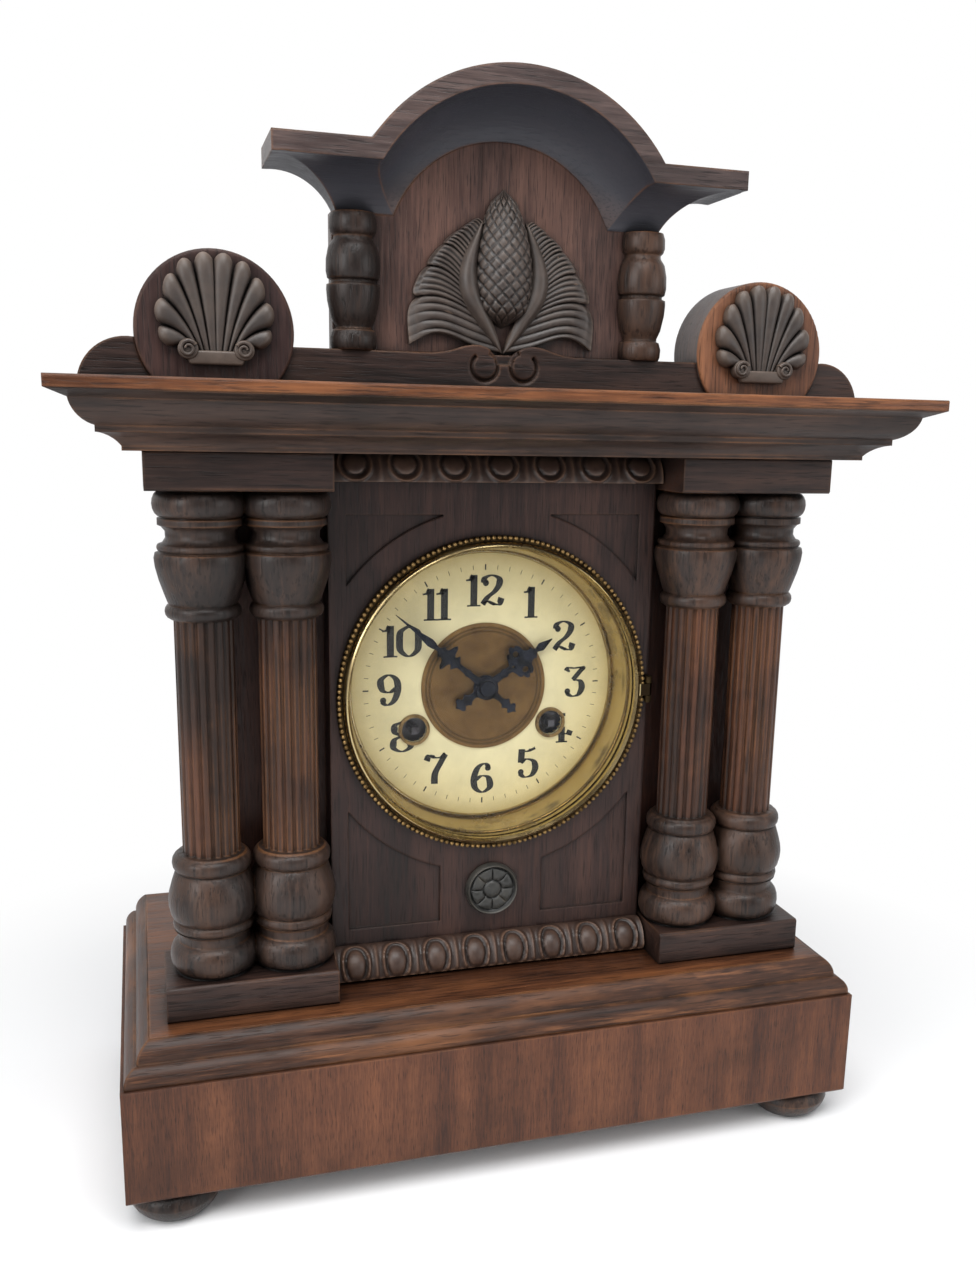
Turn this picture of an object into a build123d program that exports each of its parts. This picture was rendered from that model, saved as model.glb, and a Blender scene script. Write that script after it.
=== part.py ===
from build123d import *
import math
import os

# Columned mantel clock in dark stained wood, with a brass bezel and a striking pendulum movement.
# Millimetres. X runs to the right, Y to the back, Z up; the origin is on the floor under the middle.

# Base: four boards under a stepped moulding, on bun feet
BASE_WIDTH = 328.0
BASE_DEPTH = 166.0
BASE_HEIGHT = 50.0
BASE_BOARD = 16.0
BASE_EDGE = 1.2
FOOT_HEIGHT = 15.0
FOOT_RADIUS = 19.0
FOOT_INSET = 19.5
MOULDING_HEIGHT = 16.0
MOULDING_INSET = 12.0

# Columns and the blocks above and below them
BLOCK_WIDTH = 70.8
BLOCK_HEIGHT = 15.0
BLOCK_DEPTH = 38.6
BLOCK_SETBACK = 22.0
BLOCK_EDGE = 0.8
BLOCK_CLEARANCE = 1.0
COLUMN_HEIGHT = 201.0
COLUMN_SPACING = 33.0
COLUMN_RADIUS = 18.4
COLUMN_GAP = 0.2
COLUMN_OFFSET = 2.0
SHAFT_RADIUS = 11.2
FLUTE_COUNT = 20
FLUTE_RADIUS = 1.35
COLUMN_BASE_HEIGHT = 52.5
COLUMN_CAP_HEIGHT = 51.5

# Case body behind the columns
CASE_WIDTH = 260.0
CASE_BOARD = 12.0
PANEL_WIDTH = 146.0
PANEL_THICKNESS = 18.0
PANEL_SETBACK = 48.0
BACK_SETBACK = 6.0
TOP_BOARD = 8.0
RECESS_DEPTH = 1.5
RECESS_REACH = 65.5
RECESS_TOP = 79.0
RECESS_BOTTOM = 104.5
RECESS_INNER = 24.0
RECESS_ARC = 82.0
RECESS_NEAR = 40.0

# Egg-and-dart strips above and below the dial, and the rosette
LOWER_EGG_HEIGHT = 15.0
LOWER_EGG_DEPTH = 12.5
LOWER_EGG_COUNT = 8
UPPER_EGG_HEIGHT = 12.0
UPPER_EGG_DEPTH = 10.0
UPPER_EGG_COUNT = 7
EGG_SHARE = 0.33
ROSETTE_DROP = 90.8
ROSETTE_RADIUS = 12.2
ROSETTE_HEIGHT = 4.0
ROSETTE_PETALS = 8

# Cornice
CORNICE_WIDTH = 351.0
CORNICE_HEIGHT = 25.5
CORNICE_OVERHANG = 14.0
CORNICE_BOARD = 4.4
CORNICE_PROFILE = 36.0
CORNICE_STRIP = 66.0

# Crest: scroll rail, roundels and arched pediment
RAIL_HEIGHT = 14.2
RAIL_SETBACK = 42.5
RAIL_DEPTH = 15.0
SCROLL_RADIUS = 6.0
SCROLL_SPACING = 19.4
SCROLL_REACH = 32.0
SCROLL_PROUD = 2.0
ROUNDEL_RADIUS = 29.9
ROUNDEL_DEPTH = 25.0
ROUNDEL_GAP = 13.6
ROUNDEL_RISE = 19.0
ROUNDEL_SETBACK = 40.5
ROUNDEL_EDGE = 1.0
END_BLOCK_REACH = 21.0
END_BLOCK_HEIGHT = 15.8
SHELL_WIDTH = 46.0
SHELL_HEIGHT = 40.0
SHELL_RELIEF = 4.0
SHELL_LOBES = 10
SHELL_FAN = 196.0
TYMPANUM_WIDTH = 140.0
TYMPANUM_SETBACK = 48.5
TYMPANUM_DEPTH = 9.0
PEDIMENT_WIDTH = 191.0
PEDIMENT_SETBACK = 21.3
PEDIMENT_RISE = 88.7
PEDIMENT_FASCIA = 7.4
PEDIMENT_COVE = 15.0
PEDIMENT_COVE_HOLLOW = 3.6
PEDIMENT_LIP = 1.5
ARCH_RADIUS = 71.3
ARCH_CENTRE_RISE = 48.1
BALUSTER_SPACING = 123.4
BALUSTER_RADIUS = 10.8
PINEAPPLE_HEIGHT = 52.0
PINEAPPLE_RADIUS = 12.6
PINEAPPLE_RISE = 11.0
PINEAPPLE_TIP = 1.0
LEAF_REACH = 41.0
LEAF_HEIGHT = 45.0
LEAF_RELIEF = 4.0

# Dial, bezel and hands
DIAL_RISE = 126.1
DIAL_RADIUS = 67.5
DIAL_THICKNESS = 1.0
DIAL_HOLE = 66.5
DIAL_CENTRE_RADIUS = 29.2
DIAL_CENTRE_THICKNESS = 0.6
PIPE_HOLE = 4.2
SIGHT_RADIUS = 59.5
SIGHT_WALL = 0.8
SIGHT_LIP = 0.4
BEZEL_INNER = 65.2
BEZEL_OUTER = 67.8
BEZEL_DEPTH = 5.6
BEZEL_REBATE = 1.2
GLASS_THICKNESS = 2.0
SURROUND_RADIUS = 70.3
SURROUND_DEPTH = 3.0
BRASS_GAP = 0.3
WINDING_SPACING = 64.8
WINDING_DROP = 18.8
WINDING_HOLE = 5.7
GROMMET_RADIUS = 7.2
GROMMET_THICKNESS = 0.9
HAND_THICKNESS = 0.7
HAND_HUB = 4.4
HAND_ROOT = 1.6
HAND_WAIST = 0.9
HAND_TAIL_WIDTH = 2.4
HOUR_HAND_CLEARANCE = 3.4
HAND_PITCH = 3.2
MINUTE_HAND_LENGTH = 54.4
MINUTE_HAND_TAIL = 18.5
HOUR_HAND_LENGTH = 37.9
HOUR_HAND_TAIL = 16.5
MINUTE_EYES = [(0.45, 2.6)]
HOUR_EYES = [(0.42, 4.2), (0.62, 3.0)]
PIPE_PROUD = 0.4
MOTION_GAP = 0.8
HOUR_WHEEL_GAP = 0.6
SHOWN_HOUR = 1
SHOWN_MINUTE = 51.6
NUT_RADIUS = 3.8
NUT_THICKNESS = 1.8
HINGE_RADIUS = 1.5
HINGE_PIN = 0.8
HINGE_LENGTH = 12.0
HINGE_LEAF = 0.9

# Back door
BACK_STILE = 36.0
DOOR_HEIGHT = 205.0
DOOR_THICKNESS = 8.0
DOOR_RISE = 12.0
DOOR_GAP = 0.6
BACK_FRAME_THICKNESS = 10.0
DOOR_HINGE_LENGTH = 30.0
DOOR_HINGE_RADIUS = 1.9
DOOR_HINGE_LEAF = 1.0
DOOR_HINGE_WIDTH = 10.0
DOOR_HINGE_INSET = 40.0
BUTTON_LENGTH = 32.0
BUTTON_WIDTH = 9.0
BUTTON_THICKNESS = 3.0
BUTTON_OFFSET = 7.0
BUTTON_SCREW = 1.5

# Movement: two brass plates with the going train at the right and the striking train at the left
PLATE_WIDTH = 128.0
PLATE_ABOVE = 66.0
PLATE_BELOW = 52.0
PLATE_THICKNESS = 2.0
PLATE_STANDOFF = 8.0
PLATE_SPAN = 38.0
PILLAR_RADIUS = 3.2
PILLAR_INSET = 6.0
ARBOR_RADIUS = 0.9
WINDER_RADIUS = 2.2
WINDER_SQUARE = 3.2
SQUARE_REACH = 2.5
PIVOT_GAP = 0.05
SEAT_GAP = 0.02
PIPE_WALL = 0.7
BARREL_RADIUS = 27.0
BARREL_LENGTH = 17.0
BARREL_WALL = 1.5
BARREL_START = 3.0
WHEEL_THICKNESS = 1.6
PINION_LENGTH = 4.0
WHEEL_GAP = 0.8
WHEEL_HUB = 2.5
WHEEL_RIM = 2.2
LOCKING_LEAD = 0.6
ESCAPE_RADIUS = 13.0
ESCAPE_SETBACK = 10.0
ESCAPE_TOOTH = 2.0
ESCAPE_HUB = 4.0
ESCAPE_RIM = 1.6
ESCAPE_WHEEL_COUNT = 40
ANCHOR_RISE = 18.4
ANCHOR_REACH = 9.8
ANCHOR_DROP = 7.4
ANCHOR_HUB = 3.2
ANCHOR_NECK = 2.5
ANCHOR_CROOK = 1.5
ANCHOR_SHOULDER = 0.6
PALLET_WIDTH = 1.6
PALLET_TAPER = 1.0
RATCHET_RADIUS = 8.0
RATCHET_COUNT = 18
RATCHET_TOOTH = 1.4
RATCHET_LEAN = 60.0
RATCHET_GAP = 0.8
THIRD_DIRECTION = 125.0
PIN_WHEEL_DIRECTION = 100.0
LOCKING_DIRECTION = 100.0
FLY_DIRECTION = 30.0
FLY_RADIUS = 9.0
FLY_BLADE = 0.8
FLY_FRONT_GAP = 4.0
FLY_BACK_GAP = 1.0
LIFT_PIN_COUNT = 8
LIFT_PIN_RADIUS = 0.5
LIFT_PIN_LENGTH = 2.0
LIFT_PIN_INSET = 2.1

# Tooth counts and modules of the meshing pairs, wheel then pinion
GREAT_WHEEL_COUNT, GREAT_PINION_COUNT, GREAT_MODULE = 84, 12, 0.7
INTERMEDIATE_WHEEL_COUNT, CENTRE_PINION_COUNT, INTERMEDIATE_MODULE = 72, 12, 0.6
CENTRE_WHEEL_COUNT, THIRD_PINION_COUNT, CENTRE_MODULE = 88, 8, 0.5
THIRD_WHEEL_COUNT, ESCAPE_PINION_COUNT, THIRD_MODULE = 88, 8, 0.5
PIN_WHEEL_COUNT, LOCKING_PINION_COUNT, PIN_MODULE = 72, 8, 0.6
LOCKING_WHEEL_COUNT, FLY_PINION_COUNT, LOCKING_MODULE = 64, 8, 0.5
MINUTE_WHEEL_COUNT, CANNON_PINION_COUNT, MINUTE_MODULE = 36, 12, 0.5
HOUR_WHEEL_COUNT, MINUTE_PINION_COUNT, HOUR_MODULE = 40, 10, 0.48

# Tooth form as shares of the module (height) and of the pitch (half width at root, pitch line and tip)
WHEEL_ADDENDUM, WHEEL_WIDTHS = 0.85, (0.27, 0.20, 0.07)
PINION_ADDENDUM, PINION_WIDTHS = 0.75, (0.22, 0.19, 0.09)
DEDENDUM = 1.25

# Pendulum, hammer and gong
STUD_RADIUS = 1.5
PENDULUM_LENGTH = 132.0
PENDULUM_STANDOFF = 7.0
ROD_RADIUS = 1.1
BOB_RADIUS = 20.0
BOB_THICKNESS = 9.0
BOB_RIM = 1.5
BOB_POLE = 1.0
BOB_SWELL = 2.8
EYE_RADIUS = 3.6
EYE_LENGTH = 3.0
EYE_WALL = 1.0
EYE_PLAY = 0.8
CRUTCH_LENGTH = 26.0
CRUTCH_WIDTH = 2.4
CRUTCH_THICKNESS = 1.2
CRUTCH_FORK = 3.0
CRUTCH_PLAY = 0.6
COCK_WIDTH = 26.0
COCK_THICKNESS = 2.0
COCK_PLAY = 1.0
COCK_MARGIN = 4.0
COCK_POST = 2.0
COCK_POST_INSET = 3.0
COCK_POST_RISE = 2.0
RATING_NUT_RADIUS = 4.5
RATING_NUT_HEIGHT = 4.0
ROD_TAIL = 34.0
GONG_WIRE = 1.3
GONG_INNER = 18.0
GONG_PITCH = 5.0
GONG_HALF_TURN_COUNT = 7
GONG_OFFSET = -13.0
GONG_DROP = 79.0
GONG_FROM_BACK = 14.0
GONG_BLOCK = 14.0
HAMMER_OFFSET = -59.0
HAMMER_ARM = 70.0
HAMMER_WIDTH = 4.0
HAMMER_HEAD_RADIUS = 4.5
HAMMER_HEAD_LENGTH = 12.0
HAMMER_GAP = 1.0
HAMMER_STANDOFF = 2.0
HAMMER_ARM_THICKNESS = 2.0

# Planes and levels that follow from the sizes above
DOOR_WIDTH = CASE_WIDTH - 2 * BACK_STILE
BASE_FRONT = (CORNICE_OVERHANG - BASE_DEPTH) / 2
BASE_BACK = BASE_FRONT + BASE_DEPTH
CASE_BACK = BASE_BACK - BACK_SETBACK
BLOCK_FRONT = BASE_FRONT + BLOCK_SETBACK
PILASTER_FRONT = BLOCK_FRONT + BLOCK_DEPTH
PILASTER_BACK = PILASTER_FRONT + CASE_BOARD
COLUMN_Y = PILASTER_FRONT - COLUMN_RADIUS - COLUMN_GAP
PANEL_FRONT = BASE_FRONT + PANEL_SETBACK
PANEL_BACK = PANEL_FRONT + PANEL_THICKNESS
CORNICE_FRONT = BASE_FRONT - CORNICE_OVERHANG
BASE_BOTTOM = FOOT_HEIGHT
BASE_TOP = BASE_BOTTOM + BASE_HEIGHT
DECK_TOP = BASE_TOP + MOULDING_HEIGHT
COLUMN_FOOT = DECK_TOP + BLOCK_HEIGHT
COLUMN_TOP = COLUMN_FOOT + COLUMN_HEIGHT
CASE_TOP = COLUMN_TOP + BLOCK_HEIGHT
CREST_FOOT = CASE_TOP + CORNICE_HEIGHT
DIAL_Z = DECK_TOP + DIAL_RISE
DIAL_BACK = PANEL_BACK + DIAL_THICKNESS
FRONT_PLATE = PANEL_BACK + PLATE_STANDOFF
TRAIN_FRONT = FRONT_PLATE + PLATE_THICKNESS
BACK_PLATE = TRAIN_FRONT + PLATE_SPAN
MOVEMENT_BACK = BACK_PLATE + PLATE_THICKNESS
BLOCK_INNER = PANEL_WIDTH / 2 + BLOCK_CLEARANCE
INNER_COLUMN_X = BLOCK_INNER + BLOCK_WIDTH / 2 - COLUMN_SPACING / 2 - COLUMN_OFFSET
BACK_FRAME_FRONT = CASE_BACK - BACK_FRAME_THICKNESS
CASE_INSIDE = CASE_WIDTH / 2 - CASE_BOARD


# Shapes used by many pieces
def block(x0, x1, y0, y1, z0, z1):
    """A board or block between two corners."""
    middle = Pos((x0 + x1) / 2, (y0 + y1) / 2, (z0 + z1) / 2)
    return middle * Box(x1 - x0, y1 - y0, z1 - z0)


def bar(x, z, radius, y0, y1):
    """A round bar along Y."""
    return Pos(x, (y0 + y1) / 2, z) * Rot(90, 0, 0) * Cylinder(radius, y1 - y0)


def slab(outline, y0, y1):
    """A front-view outline in X and Z, solid from y0 back to y1."""
    return Pos(0, y1, 0) * extrude(Plane.XZ * outline, y1 - y0, dir=(0, -1, 0))


def post(x, y, radius, z0, z1):
    """A round bar along Z."""
    return Pos(x, y, (z0 + z1) / 2) * Cylinder(radius, z1 - z0)


def outline_edges(steps):
    """Lines and arcs through (across, along, swell) points; swell bows the run outwards."""
    edges = []
    for (across0, along0, _), (across1, along1, swell) in zip(steps, steps[1:]):
        start, end = (across0, along0), (across1, along1)
        if swell:
            middle = ((across0 + across1) / 2 + swell, (along0 + along1) / 2)
            edges.append(ThreePointArc(start, middle, end))
        else:
            edges.append(Line(start, end))
    return edges


def turned(steps):
    """A lathe-turned piece about Z from (radius, height, swell) steps."""
    low, high = steps[0][1], steps[-1][1]
    edges = outline_edges([(0, low, 0)] + steps + [(0, high, 0), (0, low, 0)])
    return revolve(Plane.XZ * make_face(edges), Axis.Z)


def pair(piece):
    """A piece and its mirror image on the other side of the clock."""
    return [piece, mirror(piece, Plane.YZ)]


def moved(pieces, x=0, y=0, z=0):
    return [Pos(x, y, z) * piece for piece in pieces]


def ring_of(radius, count, phase=0):
    """Points spaced evenly on a circle, from phase degrees."""
    turn = 360 / count
    angles = [math.radians(phase + turn * i) for i in range(count)]
    return [(radius * math.cos(a), radius * math.sin(a)) for a in angles]


# Base
def bun_feet():
    foot = turned(
        [
            (FOOT_RADIUS * 0.62, 0, 0),
            (FOOT_RADIUS, FOOT_HEIGHT * 0.58, 1.6),
            (FOOT_RADIUS * 0.75, FOOT_HEIGHT, 1.2),
        ]
    )
    x = BASE_WIDTH / 2 - FOOT_INSET
    rows = (BASE_FRONT + FOOT_INSET, BASE_BACK - FOOT_INSET)
    return [Pos(side * x, y, 0) * foot for side in (-1, 1) for y in rows]


def base_boards():
    half = BASE_WIDTH / 2
    front = block(-half, half, BASE_FRONT, BASE_FRONT + BASE_BOARD, BASE_BOTTOM, BASE_TOP)
    front = chamfer(front.edges().filter_by(Axis.X).group_by(Axis.Y)[0].sort_by(Axis.Z)[:1], BASE_EDGE)
    back = block(-half, half, BASE_BACK - BASE_BOARD, BASE_BACK, BASE_BOTTOM, BASE_TOP)
    side = block(
        half - BASE_BOARD, half, BASE_FRONT + BASE_BOARD, BASE_BACK - BASE_BOARD, BASE_BOTTOM, BASE_TOP
    )
    return [front, back] + pair(side)


def mitred_strips(steps, width, front, back, half):
    """A moulding along the front and both sides; steps give (inset, height, swell) of its face."""
    low, high = steps[0][1], steps[-1][1]
    face = make_face(outline_edges(steps + [(width, high, 0), (width, low, 0), steps[0]]))
    front_strip = extrude(Plane.YZ * Pos(front, 0) * face, half, both=True)
    inside, inner_front = half - width, front + width
    front_plan = Polygon(
        (-half, front), (half, front), (inside, inner_front), (-inside, inner_front), align=None
    )
    side_strip = Pos(half, back, 0) * extrude(Plane.XZ * mirror(face, Plane.YZ), back - front)
    side_plan = Polygon((half, front), (half, back), (inside, back), (inside, inner_front), align=None)
    prism_height = high + width
    front_piece = front_strip & extrude(front_plan, prism_height)
    side_piece = side_strip & extrude(side_plan, prism_height)
    return [front_piece] + pair(side_piece)


def base_moulding():
    rise = MOULDING_HEIGHT
    inset = MOULDING_INSET
    steps = [
        (inset * 0.12, BASE_TOP, 0),
        (inset * 0.12, BASE_TOP + rise * 0.12, 0),
        (inset * 0.46, BASE_TOP + rise * 0.48, -1.2),
        (inset * 0.55, BASE_TOP + rise * 0.48, 0),
        (inset * 0.55, BASE_TOP + rise * 0.58, 0),
        (inset * 0.96, DECK_TOP, -1.3),
    ]
    return mitred_strips(steps, inset, BASE_FRONT, BASE_BACK, BASE_WIDTH / 2)


def base_deck():
    half = BASE_WIDTH / 2 - MOULDING_INSET
    return [block(-half, half, BASE_FRONT + MOULDING_INSET, BASE_BACK, BASE_TOP, DECK_TOP)]


# Columns
def column_blocks():
    x1 = BLOCK_INNER + BLOCK_WIDTH
    low = block(BLOCK_INNER, x1, BLOCK_FRONT, PILASTER_FRONT, DECK_TOP, COLUMN_FOOT)
    high = block(BLOCK_INNER, x1, BLOCK_FRONT, PILASTER_FRONT, COLUMN_TOP, CASE_TOP)
    front_low = low.edges().filter_by(Axis.X).group_by(Axis.Y)[0]
    front_high = high.edges().filter_by(Axis.X).group_by(Axis.Y)[0]
    return pair(chamfer(front_low, BLOCK_EDGE)) + pair(chamfer(front_high, BLOCK_EDGE))


def column_base():
    """Torus, cove, swelling drum and collar under the shaft."""
    big = COLUMN_RADIUS - 0.4
    rise = COLUMN_BASE_HEIGHT
    return turned(
        [
            (big - 2.5, 0, 0),
            (big - 2.5, rise * 0.03, 0),
            (big - 3.5, rise * 0.26, 3.0),
            (big - 3.5, rise * 0.28, 0),
            (big - 4.0, rise * 0.43, -2.0),
            (big - 3.7, rise * 0.47, 0),
            (big - 0.4, rise * 0.62, 0.9),
            (big - 4.7, rise * 0.85, -0.6),
            (big - 5.5, rise * 0.86, 0),
            (big - 5.5, rise * 0.89, 0),
            (big - 4.0, rise * 0.905, 0),
            (big - 4.0, rise * 0.99, 1.0),
            (SHAFT_RADIUS - 0.5, rise, 0),
        ]
    )


def column_cap():
    """Collar, bell, neck and torus over the shaft."""
    big = COLUMN_RADIUS
    rise = COLUMN_CAP_HEIGHT
    return turned(
        [
            (SHAFT_RADIUS - 0.5, 0, 0),
            (big - 4.6, rise * 0.015, 0),
            (big - 4.6, rise * 0.13, 1.0),
            (big - 5.8, rise * 0.14, 0),
            (big - 5.8, rise * 0.165, 0),
            (big - 5.2, rise * 0.175, 0),
            (big - 0.2, rise * 0.43, -0.4),
            (big - 3.2, rise * 0.54, 1.2),
            (big - 3.2, rise * 0.59, 0.8),
            (big - 3.8, rise * 0.605, 0),
            (big - 3.8, rise * 0.735, -3.1),
            (big - 3.2, rise * 0.74, 0),
            (big - 3.2, rise * 0.785, 0),
            (big - 2.9, rise * 0.79, 0),
            (big - 2.9, rise * 0.955, 2.9),
            (big - 2.9, rise, 0),
        ]
    )


def fluted_shaft():
    places = ring_of(SHAFT_RADIUS + FLUTE_RADIUS / 3, FLUTE_COUNT)
    flutes = [Pos(x, y) * Circle(FLUTE_RADIUS) for x, y in places]
    length = COLUMN_HEIGHT - COLUMN_BASE_HEIGHT - COLUMN_CAP_HEIGHT
    return Pos(0, 0, COLUMN_BASE_HEIGHT) * extrude(Circle(SHAFT_RADIUS) - flutes, length)


def columns():
    """Two turned columns a side, flattened where their capitals and bases meet."""
    cap = Pos(0, 0, COLUMN_HEIGHT - COLUMN_CAP_HEIGHT) * column_cap()
    column = column_base() + fluted_shaft() + cap
    reach = COLUMN_SPACING / 2 - COLUMN_GAP / 2
    keep = block(-COLUMN_RADIUS, reach, -COLUMN_RADIUS, COLUMN_RADIUS, 0, COLUMN_HEIGHT)
    inner = column & keep
    outer = mirror(inner, Plane.YZ)
    inner = Pos(INNER_COLUMN_X, COLUMN_Y, COLUMN_FOOT) * inner
    outer = Pos(INNER_COLUMN_X + COLUMN_SPACING, COLUMN_Y, COLUMN_FOOT) * outer
    return pair(inner) + pair(outer)


# Case body
def pilaster_boards():
    return pair(block(PANEL_WIDTH / 2, CASE_WIDTH / 2, PILASTER_FRONT, PILASTER_BACK, DECK_TOP, CASE_TOP))


def case_sides():
    return pair(block(CASE_INSIDE, CASE_WIDTH / 2, PILASTER_BACK, BACK_FRAME_FRONT, DECK_TOP, CASE_TOP))


def case_top_board():
    return [block(-CASE_INSIDE, CASE_INSIDE, PILASTER_BACK, BACK_FRAME_FRONT, CASE_TOP - TOP_BOARD, CASE_TOP)]


def corner_recess(x0, x1, z0, z1):
    """A sunk corner panel, hollowed on the side of the dial."""
    area = Pos((x0 + x1) / 2, (z0 + z1) / 2) * Rectangle(x1 - x0, z1 - z0)
    return Pos(0, 0, DIAL_Z) * slab(area - Circle(RECESS_ARC), PANEL_FRONT, PANEL_FRONT + RECESS_DEPTH)


def front_panel():
    half = PANEL_WIDTH / 2
    panel = block(-half, half, PANEL_FRONT, PANEL_BACK, DECK_TOP, CASE_TOP)
    panel -= bar(0, DIAL_Z, DIAL_HOLE, PANEL_FRONT, PANEL_BACK)
    upper = corner_recess(RECESS_INNER, RECESS_REACH, RECESS_NEAR, RECESS_TOP)
    lower = corner_recess(RECESS_INNER, RECESS_REACH, -RECESS_BOTTOM, -RECESS_NEAR)
    for recess in pair(upper) + pair(lower):
        panel -= recess
    return [panel]


def egg_strip(height, depth, count, low):
    """A rounded strip with a row of eggs along it."""
    half = PANEL_WIDTH / 2
    shoulder = PANEL_FRONT - depth * 0.4
    steps = [
        (PANEL_FRONT, low, 0),
        (shoulder, low, 0),
        (shoulder, low + height, -depth * 0.35),
        (PANEL_FRONT, low + height, 0),
        (PANEL_FRONT, low, 0),
    ]
    strip = extrude(Plane.YZ * make_face(outline_edges(steps)), half, both=True)
    radius = height * EGG_SHARE
    pitch = PANEL_WIDTH / count
    for i in range(count):
        strip += Pos((i + 0.5) * pitch - half, PANEL_FRONT - depth + radius, low + height / 2) * Sphere(radius)
    return strip


def egg_mouldings():
    lower = egg_strip(LOWER_EGG_HEIGHT, LOWER_EGG_DEPTH, LOWER_EGG_COUNT, DECK_TOP)
    upper = egg_strip(UPPER_EGG_HEIGHT, UPPER_EGG_DEPTH, UPPER_EGG_COUNT, CASE_TOP - UPPER_EGG_HEIGHT)
    return [lower, upper]


def panel_rosette():
    petal = ROSETTE_RADIUS * 0.3
    petals = [Pos(x, z) * Circle(petal) for x, z in ring_of(ROSETTE_RADIUS - petal, ROSETTE_PETALS)]
    flower = slab(Circle(ROSETTE_RADIUS * 0.72) + petals, PANEL_FRONT - ROSETTE_HEIGHT * 0.6, PANEL_FRONT)
    boss = bar(0, 0, ROSETTE_RADIUS * 0.3, PANEL_FRONT - ROSETTE_HEIGHT, PANEL_FRONT)
    return moved([flower + boss], z=DIAL_Z - ROSETTE_DROP)


# Cornice
def cornice_moulding():
    rise = CORNICE_HEIGHT - CORNICE_BOARD
    steps = [
        (CORNICE_PROFILE * 0.66, CASE_TOP, 0),
        (CORNICE_PROFILE * 0.66, CASE_TOP + rise * 0.08, 0),
        (CORNICE_PROFILE * 0.44, CASE_TOP + rise * 0.31, 1.6),
        (CORNICE_PROFILE * 0.425, CASE_TOP + rise * 0.31, 0),
        (CORNICE_PROFILE * 0.425, CASE_TOP + rise * 0.42, 0),
        (CORNICE_PROFILE * 0.2, CASE_TOP + rise * 0.86, -2.2),
        (0, CASE_TOP + rise, 0),
    ]
    strips = mitred_strips(steps, CORNICE_STRIP, CORNICE_FRONT, CASE_BACK, CORNICE_WIDTH / 2)
    inside = CORNICE_WIDTH / 2 - CORNICE_STRIP
    back_rail = block(-inside, inside, CASE_BACK - CASE_BOARD, CASE_BACK, CASE_TOP, CASE_TOP + rise)
    return strips + [back_rail]


def cornice_board():
    half = CORNICE_WIDTH / 2
    board = block(-half, half, CORNICE_FRONT, CASE_BACK, CREST_FOOT - CORNICE_BOARD, CREST_FOOT)
    return [fillet(board.edges().group_by(Axis.Z)[-1].group_by(Axis.Y)[0], BLOCK_EDGE)]


# Crest
RAIL_FRONT = BASE_FRONT + RAIL_SETBACK
RAIL_BACK = RAIL_FRONT + RAIL_DEPTH
RAIL_TOP = CREST_FOOT + RAIL_HEIGHT
ROUNDEL_FRONT = BASE_FRONT + ROUNDEL_SETBACK
ROUNDEL_BACK = ROUNDEL_FRONT + ROUNDEL_DEPTH
ROUNDEL_X = BALUSTER_SPACING / 2 + BALUSTER_RADIUS + ROUNDEL_GAP + ROUNDEL_RADIUS
ROUNDEL_Z = CREST_FOOT + ROUNDEL_RISE
TYMPANUM_FRONT = BASE_FRONT + TYMPANUM_SETBACK
TYMPANUM_BACK = TYMPANUM_FRONT + TYMPANUM_DEPTH
PEDIMENT_FRONT = BASE_FRONT + PEDIMENT_SETBACK
PEDIMENT_TOP = CREST_FOOT + PEDIMENT_RISE
COVE_TOP = PEDIMENT_TOP - PEDIMENT_FASCIA
COVE_FOOT = COVE_TOP - PEDIMENT_COVE
ARCH_Z = CREST_FOOT + ARCH_CENTRE_RISE
ARCH_COVE_TOP = ARCH_RADIUS - PEDIMENT_FASCIA
ARCH_COVE_FOOT = ARCH_COVE_TOP - PEDIMENT_COVE
COVE_DEPTH = TYMPANUM_FRONT - PEDIMENT_FRONT


def roundel_space():
    """The room that a roundel takes up beside the rail and end block."""
    return bar(ROUNDEL_X, ROUNDEL_Z, ROUNDEL_RADIUS + SEAT_GAP, ROUNDEL_FRONT, ROUNDEL_BACK)


def crest_rail():
    """The low rail between the roundels, with two volutes rising in the middle."""
    board = block(-ROUNDEL_X, ROUNDEL_X, RAIL_FRONT, RAIL_BACK, CREST_FOOT, RAIL_TOP)
    for space in pair(roundel_space()):
        board -= space
    crown = RAIL_TOP + SCROLL_RADIUS * 0.8
    shoulder = SCROLL_REACH * 0.55
    left, right, low = -SCROLL_REACH, SCROLL_REACH, RAIL_TOP - SCROLL_PROUD
    hump = make_face(
        [
            Spline((left, RAIL_TOP), (-shoulder, crown), (0, low), (shoulder, crown), (right, RAIL_TOP)),
            Line((right, RAIL_TOP), (right, low)),
            Line((right, low), (left, low)),
            Line((left, low), (left, RAIL_TOP)),
        ]
    )
    board += slab(hump, RAIL_FRONT, TYMPANUM_FRONT)
    scroll_z = RAIL_TOP - SCROLL_RADIUS * 0.55
    for side in (-1, 1):
        x = side * SCROLL_SPACING / 2
        board += bar(x, scroll_z, SCROLL_RADIUS, RAIL_FRONT - SCROLL_PROUD, TYMPANUM_FRONT)
    return [board]


def roundels():
    drum = bar(ROUNDEL_X, ROUNDEL_Z, ROUNDEL_RADIUS, ROUNDEL_FRONT, ROUNDEL_BACK)
    drum = fillet(drum.edges().filter_by(GeomType.CIRCLE), ROUNDEL_EDGE)
    side = ROUNDEL_RADIUS + ROUNDEL_EDGE
    below = block(
        ROUNDEL_X - side, ROUNDEL_X + side, ROUNDEL_FRONT, ROUNDEL_BACK, CREST_FOOT - side, CREST_FOOT
    )
    return pair(drum - below)


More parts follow.
